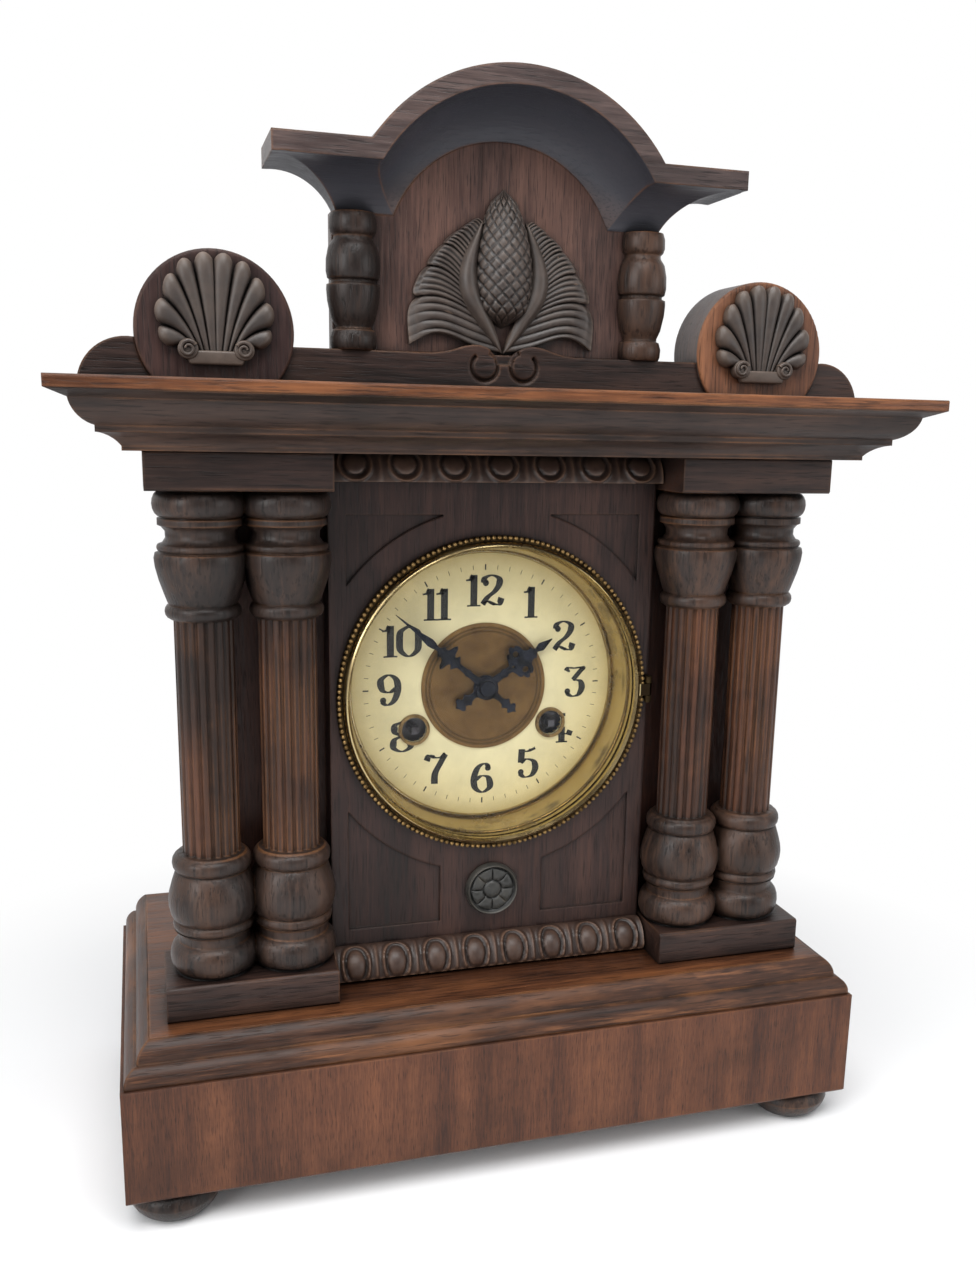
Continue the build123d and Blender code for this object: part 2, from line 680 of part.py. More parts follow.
def crest_end_blocks():
    """Half-round stops outside the roundels."""
    outer = ROUNDEL_X + ROUNDEL_RADIUS + END_BLOCK_REACH
    high = CREST_FOOT + END_BLOCK_HEIGHT
    inner = ROUNDEL_X + ROUNDEL_RADIUS * 0.5
    knee = (outer - END_BLOCK_REACH * 0.3, CREST_FOOT + END_BLOCK_HEIGHT * 0.72)
    shoulder = (outer - END_BLOCK_REACH, high)
    face = make_face(
        [
            ThreePointArc((outer, CREST_FOOT), knee, shoulder),
            Line(shoulder, (inner, high)),
            Line((inner, high), (inner, CREST_FOOT)),
            Line((inner, CREST_FOOT), (outer, CREST_FOOT)),
        ]
    )
    return pair(slab(face, RAIL_FRONT, RAIL_BACK) - roundel_space())


def shell_carvings():
    """Scallop shells on the roundels: a fan of lobes over two small curls."""
    half = SHELL_WIDTH / 2
    lobe = half * 0.26
    hinge_drop = SHELL_HEIGHT - half
    reach = half - lobe * 0.6
    lobes = []
    for i in range(SHELL_LOBES):
        angle = math.radians(90 + SHELL_FAN * (i / (SHELL_LOBES - 1) - 0.5))
        lobes.append(Pos(reach * math.cos(angle), reach * math.sin(angle)) * Circle(lobe))
    fan = Circle(reach) + lobes
    wide, narrow = half * 0.8, half * 0.25
    foot = Polygon((wide, 0), (-wide, 0), (-narrow, -hinge_drop), (narrow, -hinge_drop), align=None)
    curls = [Pos(side * half * 0.5, -hinge_drop * 0.72) * Circle(hinge_drop * 0.24) for side in (-1, 1)]
    relief = slab(fan + foot + curls, ROUNDEL_FRONT - SHELL_RELIEF, ROUNDEL_FRONT)
    return pair(Pos(ROUNDEL_X, 0, ROUNDEL_Z + ROUNDEL_RADIUS - half - SHELL_RELIEF) * relief)


def tympanum_board():
    half = TYMPANUM_WIDTH / 2
    height = COVE_FOOT - RAIL_TOP
    board = Pos(0, (RAIL_TOP + COVE_FOOT) / 2) * Rectangle(2 * half, height - 2 * SEAT_GAP)
    arch = Pos(0, ARCH_Z) * Circle(ARCH_COVE_FOOT - SEAT_GAP)
    foot = ARCH_COVE_FOOT * 2
    below = Pos(0, RAIL_TOP + SEAT_GAP - foot / 2) * Rectangle(2 * foot, foot)
    return [slab(board + arch - below, TYMPANUM_FRONT, TYMPANUM_BACK)]


def pediment_balusters():
    """Half-round turned balusters under the ends of the arch."""
    big = BALUSTER_RADIUS
    rise = COVE_FOOT - RAIL_TOP - 2 * SEAT_GAP
    baluster = turned(
        [
            (big * 0.72, 0, 0),
            (big * 0.74, rise * 0.14, big * 0.08),
            (big * 0.66, rise * 0.165, 0),
            (big * 0.66, rise * 0.49, big * 0.34),
            (big * 0.6, rise * 0.51, 0),
            (big * 0.66, rise * 0.53, 0),
            (big * 0.66, rise * 0.79, big * 0.34),
            (big * 0.66, rise * 0.82, 0),
            (big * 0.78, rise * 0.84, 0),
            (big * 0.78, rise, big * 0.1),
        ]
    )
    baluster &= block(-big, big, -big, -SEAT_GAP, 0, rise)
    return pair(Pos(BALUSTER_SPACING / 2, TYMPANUM_FRONT, RAIL_TOP + SEAT_GAP) * baluster)


def cove_steps(start, end, hollow):
    """The hollow under a fascia, from its outer top edge to its inner foot."""
    middle = ((start[0] + end[0]) / 2 + hollow, (start[1] + end[1]) / 2 + abs(hollow))
    return ThreePointArc(start, middle, end)


def pediment_cornice():
    """The arched hood: straight wings with returns, and a round arch between them."""
    half = PEDIMENT_WIDTH / 2
    lip = PEDIMENT_LIP
    front_face = make_face(
        [
            Line((PEDIMENT_FRONT, PEDIMENT_TOP), (PEDIMENT_FRONT, COVE_TOP)),
            Line((PEDIMENT_FRONT, COVE_TOP), (PEDIMENT_FRONT + lip, COVE_TOP)),
            cove_steps((PEDIMENT_FRONT + lip, COVE_TOP), (TYMPANUM_FRONT, COVE_FOOT), PEDIMENT_COVE_HOLLOW),
            Line((TYMPANUM_FRONT, COVE_FOOT), (TYMPANUM_BACK, COVE_FOOT)),
            Line((TYMPANUM_BACK, COVE_FOOT), (TYMPANUM_BACK, PEDIMENT_TOP)),
            Line((TYMPANUM_BACK, PEDIMENT_TOP), (PEDIMENT_FRONT, PEDIMENT_TOP)),
        ]
    )
    inner = half - COVE_DEPTH
    side_face = make_face(
        [
            Line((-half, PEDIMENT_TOP), (-half, COVE_TOP)),
            Line((-half, COVE_TOP), (lip - half, COVE_TOP)),
            cove_steps((lip - half, COVE_TOP), (-inner, COVE_FOOT), PEDIMENT_COVE_HOLLOW),
            Line((-inner, COVE_FOOT), (inner, COVE_FOOT)),
            cove_steps((inner, COVE_FOOT), (half - lip, COVE_TOP), -PEDIMENT_COVE_HOLLOW),
            Line((half - lip, COVE_TOP), (half, COVE_TOP)),
            Line((half, COVE_TOP), (half, PEDIMENT_TOP)),
            Line((half, PEDIMENT_TOP), (-half, PEDIMENT_TOP)),
        ]
    )
    wings = extrude(Plane.YZ * front_face, half, both=True) & slab(side_face, PEDIMENT_FRONT, TYMPANUM_BACK)
    hood = bar(0, ARCH_Z, ARCH_RADIUS, PEDIMENT_FRONT, TYMPANUM_BACK)
    hood -= block(-half, half, PEDIMENT_FRONT, TYMPANUM_BACK, ARCH_Z - ARCH_RADIUS, COVE_TOP)
    hollow_face = make_face(
        [
            Line((0, -lip), (ARCH_COVE_TOP, -lip)),
            Line((ARCH_COVE_TOP, -lip), (ARCH_COVE_TOP, lip)),
            cove_steps((ARCH_COVE_TOP, lip), (ARCH_COVE_FOOT, COVE_DEPTH), PEDIMENT_COVE_HOLLOW),
            Line((ARCH_COVE_FOOT, COVE_DEPTH), (ARCH_COVE_FOOT, COVE_DEPTH + TYMPANUM_DEPTH + lip)),
            Line((ARCH_COVE_FOOT, COVE_DEPTH + TYMPANUM_DEPTH + lip), (0, COVE_DEPTH + TYMPANUM_DEPTH + lip)),
            Line((0, COVE_DEPTH + TYMPANUM_DEPTH + lip), (0, -lip)),
        ]
    )
    hollow = Pos(0, PEDIMENT_FRONT, ARCH_Z) * revolve(hollow_face, Axis.Y)
    return [wings + hood - hollow]


def pineapple_carving():
    """A pine cone between two ribbed leaf fans, on the face of the tympanum."""
    foot = RAIL_TOP + PINEAPPLE_RISE
    tip = PINEAPPLE_TIP
    cone = turned([(tip, 0, 0), (tip, PINEAPPLE_HEIGHT, PINEAPPLE_RADIUS - tip)])
    cone &= block(-PINEAPPLE_RADIUS, PINEAPPLE_RADIUS, -PINEAPPLE_RADIUS, 0, 0, PINEAPPLE_HEIGHT)
    cone = Pos(0, TYMPANUM_FRONT, foot) * cone
    low = foot - PINEAPPLE_RISE * 0.5
    leaf = make_face(
        [
            ThreePointArc(
                (LEAF_REACH, low),
                (LEAF_REACH * 0.86, low + LEAF_HEIGHT * 0.6),
                (LEAF_REACH * 0.3, low + LEAF_HEIGHT),
            ),
            Line((LEAF_REACH * 0.3, low + LEAF_HEIGHT), (tip, low)),
            Line((tip, low), (LEAF_REACH, low)),
        ]
    )
    fans = pair(slab(leaf, TYMPANUM_FRONT - LEAF_RELIEF, TYMPANUM_FRONT))
    return [cone + fans[0] + fans[1]]


# Back door
DOOR_LOW = DECK_TOP + DOOR_RISE
DOOR_HIGH = DOOR_LOW + DOOR_HEIGHT
DOOR_HINGE_X = DOOR_WIDTH / 2 + DOOR_GAP / 2
DOOR_HINGE_Y = CASE_BACK + DOOR_HINGE_RADIUS + BRASS_GAP
DOOR_HINGE_ZS = (DOOR_LOW + DOOR_HINGE_INSET, DOOR_HIGH - DOOR_HINGE_INSET)
BUTTON_X = -DOOR_WIDTH / 2 - BUTTON_OFFSET
BUTTON_Z = (DOOR_LOW + DOOR_HIGH) / 2


def back_frame():
    half = CASE_WIDTH / 2
    frame = block(-half, half, BACK_FRAME_FRONT, CASE_BACK, DECK_TOP, CASE_TOP)
    wide = DOOR_WIDTH / 2 + DOOR_GAP
    frame -= block(-wide, wide, BACK_FRAME_FRONT, CASE_BACK, DOOR_LOW - DOOR_GAP, DOOR_HIGH + DOOR_GAP)
    frame -= bar(BUTTON_X, BUTTON_Z, BUTTON_SCREW + PIVOT_GAP, BACK_FRAME_FRONT, CASE_BACK)
    return [frame]


def back_door():
    half = DOOR_WIDTH / 2
    return [block(-half, half, CASE_BACK - DOOR_THICKNESS, CASE_BACK, DOOR_LOW, DOOR_HIGH)]


def knuckle(z0, z1):
    return post(DOOR_HINGE_X, DOOR_HINGE_Y, DOOR_HINGE_RADIUS, z0, z1)


def hinge_leaf(x0, x1, z0, z1):
    return block(x0, x1, CASE_BACK, CASE_BACK + DOOR_HINGE_LEAF, z0, z1)


def frame_hinge_leaves():
    """Leaves on the frame, each with its pin and the outer knuckles."""
    leaves = []
    third = DOOR_HINGE_LENGTH / 3
    for z in DOOR_HINGE_ZS:
        low, high = z - DOOR_HINGE_LENGTH / 2, z + DOOR_HINGE_LENGTH / 2
        leaf = post(DOOR_HINGE_X, DOOR_HINGE_Y, DOOR_HINGE_RADIUS / 2, low, high)
        for z0, z1 in ((low, low + third), (high - third, high)):
            leaf += knuckle(z0, z1)
            leaf += hinge_leaf(DOOR_HINGE_X, DOOR_HINGE_X + DOOR_HINGE_WIDTH, z0, z1)
        inner = DOOR_HINGE_X + DOOR_HINGE_RADIUS + BRASS_GAP
        leaf += hinge_leaf(inner, DOOR_HINGE_X + DOOR_HINGE_WIDTH, low, high)
        leaves.append(leaf)
    return leaves


def door_hinge_leaves():
    """Leaves on the door, each with the middle knuckle around the pin."""
    leaves = []
    third = DOOR_HINGE_LENGTH / 3
    for z in DOOR_HINGE_ZS:
        low, high = z - third / 2 + BRASS_GAP, z + third / 2 - BRASS_GAP
        leaf = knuckle(low, high) + hinge_leaf(DOOR_HINGE_X - DOOR_HINGE_WIDTH, DOOR_HINGE_X, low, high)
        wide_low, wide_high = z - DOOR_HINGE_LENGTH / 2, z + DOOR_HINGE_LENGTH / 2
        outer = DOOR_HINGE_X - DOOR_HINGE_RADIUS - BRASS_GAP
        leaf += hinge_leaf(DOOR_HINGE_X - DOOR_HINGE_WIDTH, outer, wide_low, wide_high)
        leaf -= post(DOOR_HINGE_X, DOOR_HINGE_Y, DOOR_HINGE_RADIUS / 2 + PIVOT_GAP, low, high)
        leaves.append(leaf)
    return leaves


def turn_button():
    """The wooden button that holds the door shut when it is turned across it."""
    bar_face = SlotOverall(BUTTON_LENGTH, BUTTON_WIDTH, rotation=90)
    button = slab(bar_face - Circle(BUTTON_SCREW + SEAT_GAP), 0, BUTTON_THICKNESS)
    return [Pos(BUTTON_X, CASE_BACK + BRASS_GAP, BUTTON_Z) * button]


def turn_button_screw():
    head_front = CASE_BACK + BRASS_GAP + BUTTON_THICKNESS
    screw = bar(0, 0, BUTTON_SCREW, BACK_FRAME_FRONT, head_front)
    screw += bar(0, 0, 2 * BUTTON_SCREW, head_front, head_front + BUTTON_SCREW)
    return moved([screw], x=BUTTON_X, z=BUTTON_Z)


# Dial and bezel
HINGE_X = SURROUND_RADIUS + HINGE_RADIUS + BRASS_GAP
HINGE_Y = PANEL_FRONT - SURROUND_DEPTH - BRASS_GAP
BEZEL_BACK = PANEL_FRONT - BRASS_GAP
BEZEL_FRONT = BEZEL_BACK - BEZEL_DEPTH


def ring_about_y(steps, y, z):
    """A turned ring about Y at height z; steps give (radius, depth from y, swell)."""
    face = make_face(outline_edges(steps + [steps[0]]))
    return Pos(0, y, z) * revolve(face, Axis.Y)


def bezel_surround():
    """The fixed outer ring of the bezel, screwed to the panel."""
    inner = BEZEL_OUTER + BRASS_GAP
    steps = [
        (inner, 0, 0),
        (SURROUND_RADIUS, 0, 0),
        (SURROUND_RADIUS, -SURROUND_DEPTH * 0.5, 0),
        (SURROUND_RADIUS - 0.6, -SURROUND_DEPTH, 0),
        (inner, -SURROUND_DEPTH, 0),
    ]
    return [ring_about_y(steps, PANEL_FRONT, DIAL_Z)]


def bezel_ring():
    """The hinged ring that holds the glass, with its knuckle at the right."""
    rebate = BEZEL_INNER + BEZEL_REBATE
    seat = GLASS_THICKNESS + BRASS_GAP
    steps = [
        (rebate, 0, 0),
        (BEZEL_OUTER, 0, 0),
        (BEZEL_OUTER, -BEZEL_DEPTH * 0.6, 0),
        (BEZEL_INNER + BEZEL_REBATE * 0.8, -BEZEL_DEPTH, 0.5),
        (BEZEL_INNER, -BEZEL_DEPTH * 0.75, 0),
        (BEZEL_INNER, -seat, 0),
        (rebate, -seat, 0),
    ]
    ring = ring_about_y(steps, BEZEL_BACK, DIAL_Z)
    half = HINGE_LENGTH / 4 - BRASS_GAP
    low, high = DIAL_Z - half, DIAL_Z + half
    tab_inner = BEZEL_OUTER - BEZEL_REBATE
    tab_front = HINGE_Y - HINGE_RADIUS
    ring += block(tab_inner, HINGE_X, tab_front, HINGE_Y, low, high)
    ring += post(HINGE_X, HINGE_Y, HINGE_RADIUS, low, high)
    ring -= post(HINGE_X, HINGE_Y, HINGE_PIN + PIVOT_GAP, low, high)
    return [ring]


def bezel_glass():
    radius = BEZEL_INNER + BEZEL_REBATE - PIVOT_GAP
    return [bar(0, DIAL_Z, radius, BEZEL_BACK - GLASS_THICKNESS - BRASS_GAP, BEZEL_BACK - BRASS_GAP)]


def bezel_hinge():
    """The fixed half of the bezel's hinge: a leaf on the panel, two knuckles and the pin."""
    half = HINGE_LENGTH / 2
    hinge = post(HINGE_X, HINGE_Y, HINGE_PIN, DIAL_Z - half, DIAL_Z + half)
    outer = PANEL_WIDTH / 2
    for side in (-1, 1):
        z0, z1 = sorted((DIAL_Z + side * half, DIAL_Z + side * half / 2))
        hinge += post(HINGE_X, HINGE_Y, HINGE_RADIUS, z0, z1)
        hinge += block(HINGE_X - HINGE_LEAF, outer, HINGE_Y, PANEL_FRONT, z0, z1)
    return [hinge]


def sight_ring():
    """The deep sloping brass wall between the glass and the dial."""
    outer = DIAL_HOLE - SIGHT_LIP
    depth = PANEL_THICKNESS
    steps = [
        (outer - SIGHT_WALL, 0, 0),
        (outer, 0, 0),
        (SIGHT_RADIUS + SIGHT_WALL, depth, 0),
        (SIGHT_RADIUS, depth, 0),
    ]
    return [ring_about_y(steps, PANEL_FRONT, DIAL_Z)]


WINDING_X = WINDING_SPACING / 2


def dial_plate():
    plate = bar(0, 0, DIAL_RADIUS, PANEL_BACK, DIAL_BACK)
    plate -= bar(0, 0, PIPE_HOLE, PANEL_BACK, DIAL_BACK)
    for side in (-1, 1):
        plate -= bar(side * WINDING_X, -WINDING_DROP, WINDING_HOLE, PANEL_BACK, DIAL_BACK)
    return moved([plate], z=DIAL_Z)


def dial_centre():
    front = PANEL_BACK - DIAL_CENTRE_THICKNESS
    disc = bar(0, DIAL_Z, DIAL_CENTRE_RADIUS, front, PANEL_BACK)
    return [disc - bar(0, DIAL_Z, PIPE_HOLE, front, PANEL_BACK)]


def winding_grommets():
    front = PANEL_BACK - GROMMET_THICKNESS
    ring = bar(WINDING_X, DIAL_Z - WINDING_DROP, GROMMET_RADIUS, front, PANEL_BACK)
    ring -= bar(WINDING_X, DIAL_Z - WINDING_DROP, WINDING_HOLE, front, PANEL_BACK)
    ring -= bar(0, DIAL_Z, DIAL_CENTRE_RADIUS + BRASS_GAP, front, PANEL_BACK)
    return pair(ring)


# Motion work and hands
MINUTE_PIPE = ARBOR_RADIUS + PIVOT_GAP + PIPE_WALL
HOUR_BORE = MINUTE_PIPE + 2 * PIVOT_GAP
HOUR_PIPE = HOUR_BORE + PIPE_WALL
HOUR_HAND_Y = PANEL_BACK - HOUR_HAND_CLEARANCE
MINUTE_HAND_Y = HOUR_HAND_Y - HAND_PITCH
NUT_Y = MINUTE_HAND_Y - SEAT_GAP
MOTION_BACK = FRONT_PLATE - MOTION_GAP
HOUR_WHEEL_Y = MOTION_BACK - 2 * WHEEL_THICKNESS - HOUR_WHEEL_GAP


def hand(length, tail, bore, y, angle, eyes):
    """A flat hand pointing at angle (clockwise from twelve), with round eyes along its blade."""
    right_side = [(HAND_TAIL_WIDTH, -tail * 0.8), (HAND_ROOT, 0), (HAND_WAIST, length * 0.5)]
    left_side = [(-x, along) for x, along in reversed(right_side)]
    blade = Polygon((0, -tail), *right_side, (0, length), *left_side, align=None)
    face = blade + Circle(HAND_HUB) + [Pos(0, length * share) * Circle(size) for share, size in eyes]
    face -= Circle(bore)
    return Pos(0, 0, DIAL_Z) * Rot(0, angle, 0) * slab(face, y, y + HAND_THICKNESS)


def minute_hand():
    angle = SHOWN_MINUTE * 6
    bore = MINUTE_PIPE + SEAT_GAP
    return [hand(MINUTE_HAND_LENGTH, MINUTE_HAND_TAIL, bore, MINUTE_HAND_Y, angle, MINUTE_EYES)]


def hour_hand():
    angle = (SHOWN_HOUR + SHOWN_MINUTE / 60) * 30
    bore = HOUR_PIPE + SEAT_GAP
    return [hand(HOUR_HAND_LENGTH, HOUR_HAND_TAIL, bore, HOUR_HAND_Y, angle, HOUR_EYES)]


def hand_nut():
    nut = bar(0, DIAL_Z, NUT_RADIUS, NUT_Y - NUT_THICKNESS, NUT_Y)
    nut = fillet(nut.edges().sort_by(Axis.Y)[0], NUT_THICKNESS / 2)
    return [nut - bar(0, DIAL_Z, MINUTE_PIPE + SEAT_GAP, NUT_Y - NUT_THICKNESS / 2, NUT_Y)]


# Wheels
def toothed(count, module, phase, widths, addendum):
    """Outline of a toothed wheel with a tooth at phase degrees."""
    pitch = 2 * math.pi / count
    radius = module * count / 2
    low, high = radius - DEDENDUM * module, radius + addendum * module
    root, line, tip = widths
    profile = [(low, -root), (radius, -line), (high, -tip), (high, tip), (radius, line), (low, root)]
    points = []
    for i in range(count):
        centre = math.radians(phase) + i * pitch
        points += [(r * math.cos(centre + w * pitch), r * math.sin(centre + w * pitch)) for r, w in profile]
    return Polygon(*points, align=None)


def eight_sided(radius):
    """An eight-sided hole that just goes over a round arbor."""
    return Polygon(*ring_of((radius + SEAT_GAP) / math.cos(math.pi / 8), 8), align=None)


def crossings(inner, outer, arms=5):
    """The openings between a wheel's spokes."""
    turn = 2 * math.pi / arms
    windows = []
    for i in range(arms):
        corners = [(inner, 0.2), (inner, 0.8), (outer, 0.88), (outer, 0.5), (outer, 0.12)]
        points = [(r * math.cos((i + s) * turn), r * math.sin((i + s) * turn)) for r, s in corners]
        windows.append(Polygon(*points, align=None))
    return windows


def direction(start, end):
    return math.degrees(math.atan2(end[1] - start[1], end[0] - start[0]))


def wheel(count, module, place, mate, bore, y):
    """A crossed-out brass wheel with a tooth on the line to its mate."""
    face = toothed(count, module, direction(place, mate), WHEEL_WIDTHS, WHEEL_ADDENDUM) - eight_sided(bore)
    rim = module * (count / 2 - DEDENDUM) - WHEEL_RIM
    spoke_root = 2 * bore + WHEEL_HUB
    if rim > 2 * spoke_root - WHEEL_RIM:
        face -= crossings(spoke_root, rim)
    return Pos(place[0], 0, DIAL_Z + place[1]) * slab(face, y, y + WHEEL_THICKNESS)


def pinion(count, module, place, mate, bore, y, length=PINION_LENGTH):
    """A steel pinion with a gap on the line to its mate."""
    phase = direction(place, mate) + 180 / count
    face = toothed(count, module, phase, PINION_WIDTHS, PINION_ADDENDUM) - eight_sided(bore)
    return Pos(place[0], 0, DIAL_Z + place[1]) * slab(face, y, y + length)


def meeting(a, reach_a, b, reach_b):
    """The point at those distances from a and b, on the upper side."""
    span = math.dist(a, b)
    along = (reach_a**2 - reach_b**2 + span**2) / (2 * span)
    rise = math.sqrt(reach_a**2 - along**2)
    ux, uz = (b[0] - a[0]) / span, (b[1] - a[1]) / span
    points = [(a[0] + along * ux - s * rise * uz, a[1] + along * uz + s * rise * ux) for s in (-1, 1)]
    return max(points, key=lambda point: point[1])


def toward(start, distance, degrees):
    turn = math.radians(degrees)
    return (start[0] + distance * math.cos(turn), start[1] + distance * math.sin(turn))


# Places of the arbors, from the middle of the dial
CENTRE = (0.0, 0.0)
TIME_BARREL = (WINDING_X, -WINDING_DROP)
STRIKE_BARREL = (-WINDING_X, -WINDING_DROP)
GREAT_REACH = GREAT_MODULE * (GREAT_WHEEL_COUNT + GREAT_PINION_COUNT) / 2
INTERMEDIATE_REACH = INTERMEDIATE_MODULE * (INTERMEDIATE_WHEEL_COUNT + CENTRE_PINION_COUNT) / 2
CENTRE_REACH = CENTRE_MODULE * (CENTRE_WHEEL_COUNT + THIRD_PINION_COUNT) / 2
THIRD_REACH = THIRD_MODULE * (THIRD_WHEEL_COUNT + ESCAPE_PINION_COUNT) / 2
PIN_REACH = PIN_MODULE * (PIN_WHEEL_COUNT + LOCKING_PINION_COUNT) / 2
LOCKING_REACH = LOCKING_MODULE * (LOCKING_WHEEL_COUNT + FLY_PINION_COUNT) / 2
MINUTE_REACH = MINUTE_MODULE * (MINUTE_WHEEL_COUNT + CANNON_PINION_COUNT) / 2
INTERMEDIATE = meeting(CENTRE, INTERMEDIATE_REACH, TIME_BARREL, GREAT_REACH)
THIRD = toward(CENTRE, CENTRE_REACH, THIRD_DIRECTION)
ESCAPE = (0.0, THIRD[1] + math.sqrt(THIRD_REACH**2 - THIRD[0] ** 2))
ANCHOR = (0.0, ESCAPE[1] + ANCHOR_RISE)
PIN_WHEEL = toward(STRIKE_BARREL, GREAT_REACH, PIN_WHEEL_DIRECTION)
LOCKING = toward(PIN_WHEEL, PIN_REACH, LOCKING_DIRECTION)
FLY = toward(LOCKING, LOCKING_REACH, FLY_DIRECTION)
MINUTE_WHEEL = (0.0, -MINUTE_REACH)
HAMMER = (HAMMER_OFFSET, 0.0)

# Depths of the wheels behind the front plate
PINION_LEAD = (PINION_LENGTH - WHEEL_THICKNESS) / 2
GREAT_Y = TRAIN_FRONT + BARREL_START + BARREL_LENGTH
THIRD_Y = GREAT_Y + 2 * WHEEL_THICKNESS
INTERMEDIATE_Y = THIRD_Y + WHEEL_THICKNESS + PINION_LEAD + WHEEL_GAP
PIN_Y = INTERMEDIATE_Y + WHEEL_GAP
CENTRE_Y = INTERMEDIATE_Y + WHEEL_THICKNESS + 2 * PINION_LEAD + WHEEL_GAP
LOCKING_Y = GREAT_Y - LOCKING_LEAD
ESCAPE_Y = TRAIN_FRONT + ESCAPE_SETBACK


def arbor(place, radius=ARBOR_RADIUS, front=None, back=None):
    """A steel arbor between the plates, or from front to back where they are given."""
    start = FRONT_PLATE if front is None else front
    end = MOVEMENT_BACK if back is None else back
    return bar(place[0], DIAL_Z + place[1], radius, start, end)


def cannon_pinion():
    """The pipe that carries the minute hand, with its pinion, friction-tight on the centre arbor."""
    pipe = bar(0, DIAL_Z, MINUTE_PIPE, NUT_Y - NUT_THICKNESS / 2 + SEAT_GAP, MOTION_BACK)
    pipe -= arbor(CENTRE, ARBOR_RADIUS + PIVOT_GAP, NUT_Y - NUT_THICKNESS, MOTION_BACK)
    y = MOTION_BACK - WHEEL_THICKNESS
    leaves = pinion(CANNON_PINION_COUNT, MINUTE_MODULE, CENTRE, MINUTE_WHEEL, MINUTE_PIPE, y, WHEEL_THICKNESS)
    return [pipe, leaves]


def minute_wheel():
    y = MOTION_BACK - WHEEL_THICKNESS
    stud = arbor(MINUTE_WHEEL, ARBOR_RADIUS, HOUR_WHEEL_Y, TRAIN_FRONT)
    big = wheel(MINUTE_WHEEL_COUNT, MINUTE_MODULE, MINUTE_WHEEL, CENTRE, ARBOR_RADIUS, y)
    reach = y - HOUR_WHEEL_Y
    small = pinion(MINUTE_PINION_COUNT, HOUR_MODULE, MINUTE_WHEEL, CENTRE, ARBOR_RADIUS, HOUR_WHEEL_Y, reach)
    return [stud, big, small]


def hour_wheel():
    """The wheel and pipe that carry the hour hand, loose on the minute pipe."""
    pipe = bar(0, DIAL_Z, HOUR_PIPE, HOUR_HAND_Y - PIPE_PROUD, HOUR_WHEEL_Y + WHEEL_THICKNESS)
    pipe -= bar(0, DIAL_Z, HOUR_BORE, HOUR_HAND_Y - PIPE_PROUD, HOUR_WHEEL_Y + WHEEL_THICKNESS)
    return [pipe, wheel(HOUR_WHEEL_COUNT, HOUR_MODULE, CENTRE, MINUTE_WHEEL, HOUR_PIPE, HOUR_WHEEL_Y)]


def centre_wheel():
    pin_y = INTERMEDIATE_Y - PINION_LEAD
    return [
        arbor(CENTRE, ARBOR_RADIUS, MINUTE_HAND_Y),
        wheel(CENTRE_WHEEL_COUNT, CENTRE_MODULE, CENTRE, THIRD, ARBOR_RADIUS, CENTRE_Y),
        pinion(CENTRE_PINION_COUNT, INTERMEDIATE_MODULE, CENTRE, INTERMEDIATE, ARBOR_RADIUS, pin_y),
    ]


def intermediate_wheel():
    pin_y = GREAT_Y - PINION_LEAD
    return [
        arbor(INTERMEDIATE),
        wheel(
            INTERMEDIATE_WHEEL_COUNT, INTERMEDIATE_MODULE, INTERMEDIATE, CENTRE, ARBOR_RADIUS, INTERMEDIATE_Y
        ),
        pinion(GREAT_PINION_COUNT, GREAT_MODULE, INTERMEDIATE, TIME_BARREL, ARBOR_RADIUS, pin_y),
    ]


def third_wheel():
    pin_y = CENTRE_Y - PINION_LEAD
    return [
        arbor(THIRD),
        wheel(THIRD_WHEEL_COUNT, THIRD_MODULE, THIRD, ESCAPE, ARBOR_RADIUS, THIRD_Y),
        pinion(THIRD_PINION_COUNT, CENTRE_MODULE, THIRD, CENTRE, ARBOR_RADIUS, pin_y),
    ]


def escape_wheel():
    """A wheel of pointed teeth that the anchor lets past one by one."""
    tips = ring_of(ESCAPE_RADIUS, ESCAPE_WHEEL_COUNT)
    root_radius = ESCAPE_RADIUS - ESCAPE_TOOTH
    roots = ring_of(root_radius, ESCAPE_WHEEL_COUNT, 180 / ESCAPE_WHEEL_COUNT)
    points = [point for both in zip(tips, roots) for point in both]
    face = Polygon(*points, align=None) - eight_sided(ARBOR_RADIUS)
    face -= crossings(ESCAPE_HUB, root_radius - ESCAPE_RIM)
    toothed_disc = Pos(ESCAPE[0], 0, DIAL_Z + ESCAPE[1]) * slab(face, ESCAPE_Y, ESCAPE_Y + WHEEL_THICKNESS)
    pin_y = THIRD_Y - PINION_LEAD
    leaves = pinion(ESCAPE_PINION_COUNT, THIRD_MODULE, ESCAPE, THIRD, ARBOR_RADIUS, pin_y)
    return [arbor(ESCAPE), toothed_disc, leaves]


def barrel(place, mate):
    """A spring barrel: a drum with end caps on the winding arbor, and the great wheel behind it."""
    front, back = TRAIN_FRONT + BARREL_START, GREAT_Y
    drum = bar(0, 0, BARREL_RADIUS, front, back)
    drum -= bar(0, 0, BARREL_RADIUS - BARREL_WALL, front + BARREL_WALL, back - BARREL_WALL)
    drum -= bar(0, 0, WINDER_RADIUS + PIVOT_GAP, front, back)
    drum = Pos(place[0], 0, DIAL_Z + place[1]) * drum
    face = toothed(GREAT_WHEEL_COUNT, GREAT_MODULE, direction(place, mate), WHEEL_WIDTHS, WHEEL_ADDENDUM)
    face -= eight_sided(WINDER_RADIUS + PIVOT_GAP)
    return [drum, Pos(place[0], 0, DIAL_Z + place[1]) * slab(face, GREAT_Y, GREAT_Y + WHEEL_THICKNESS)]


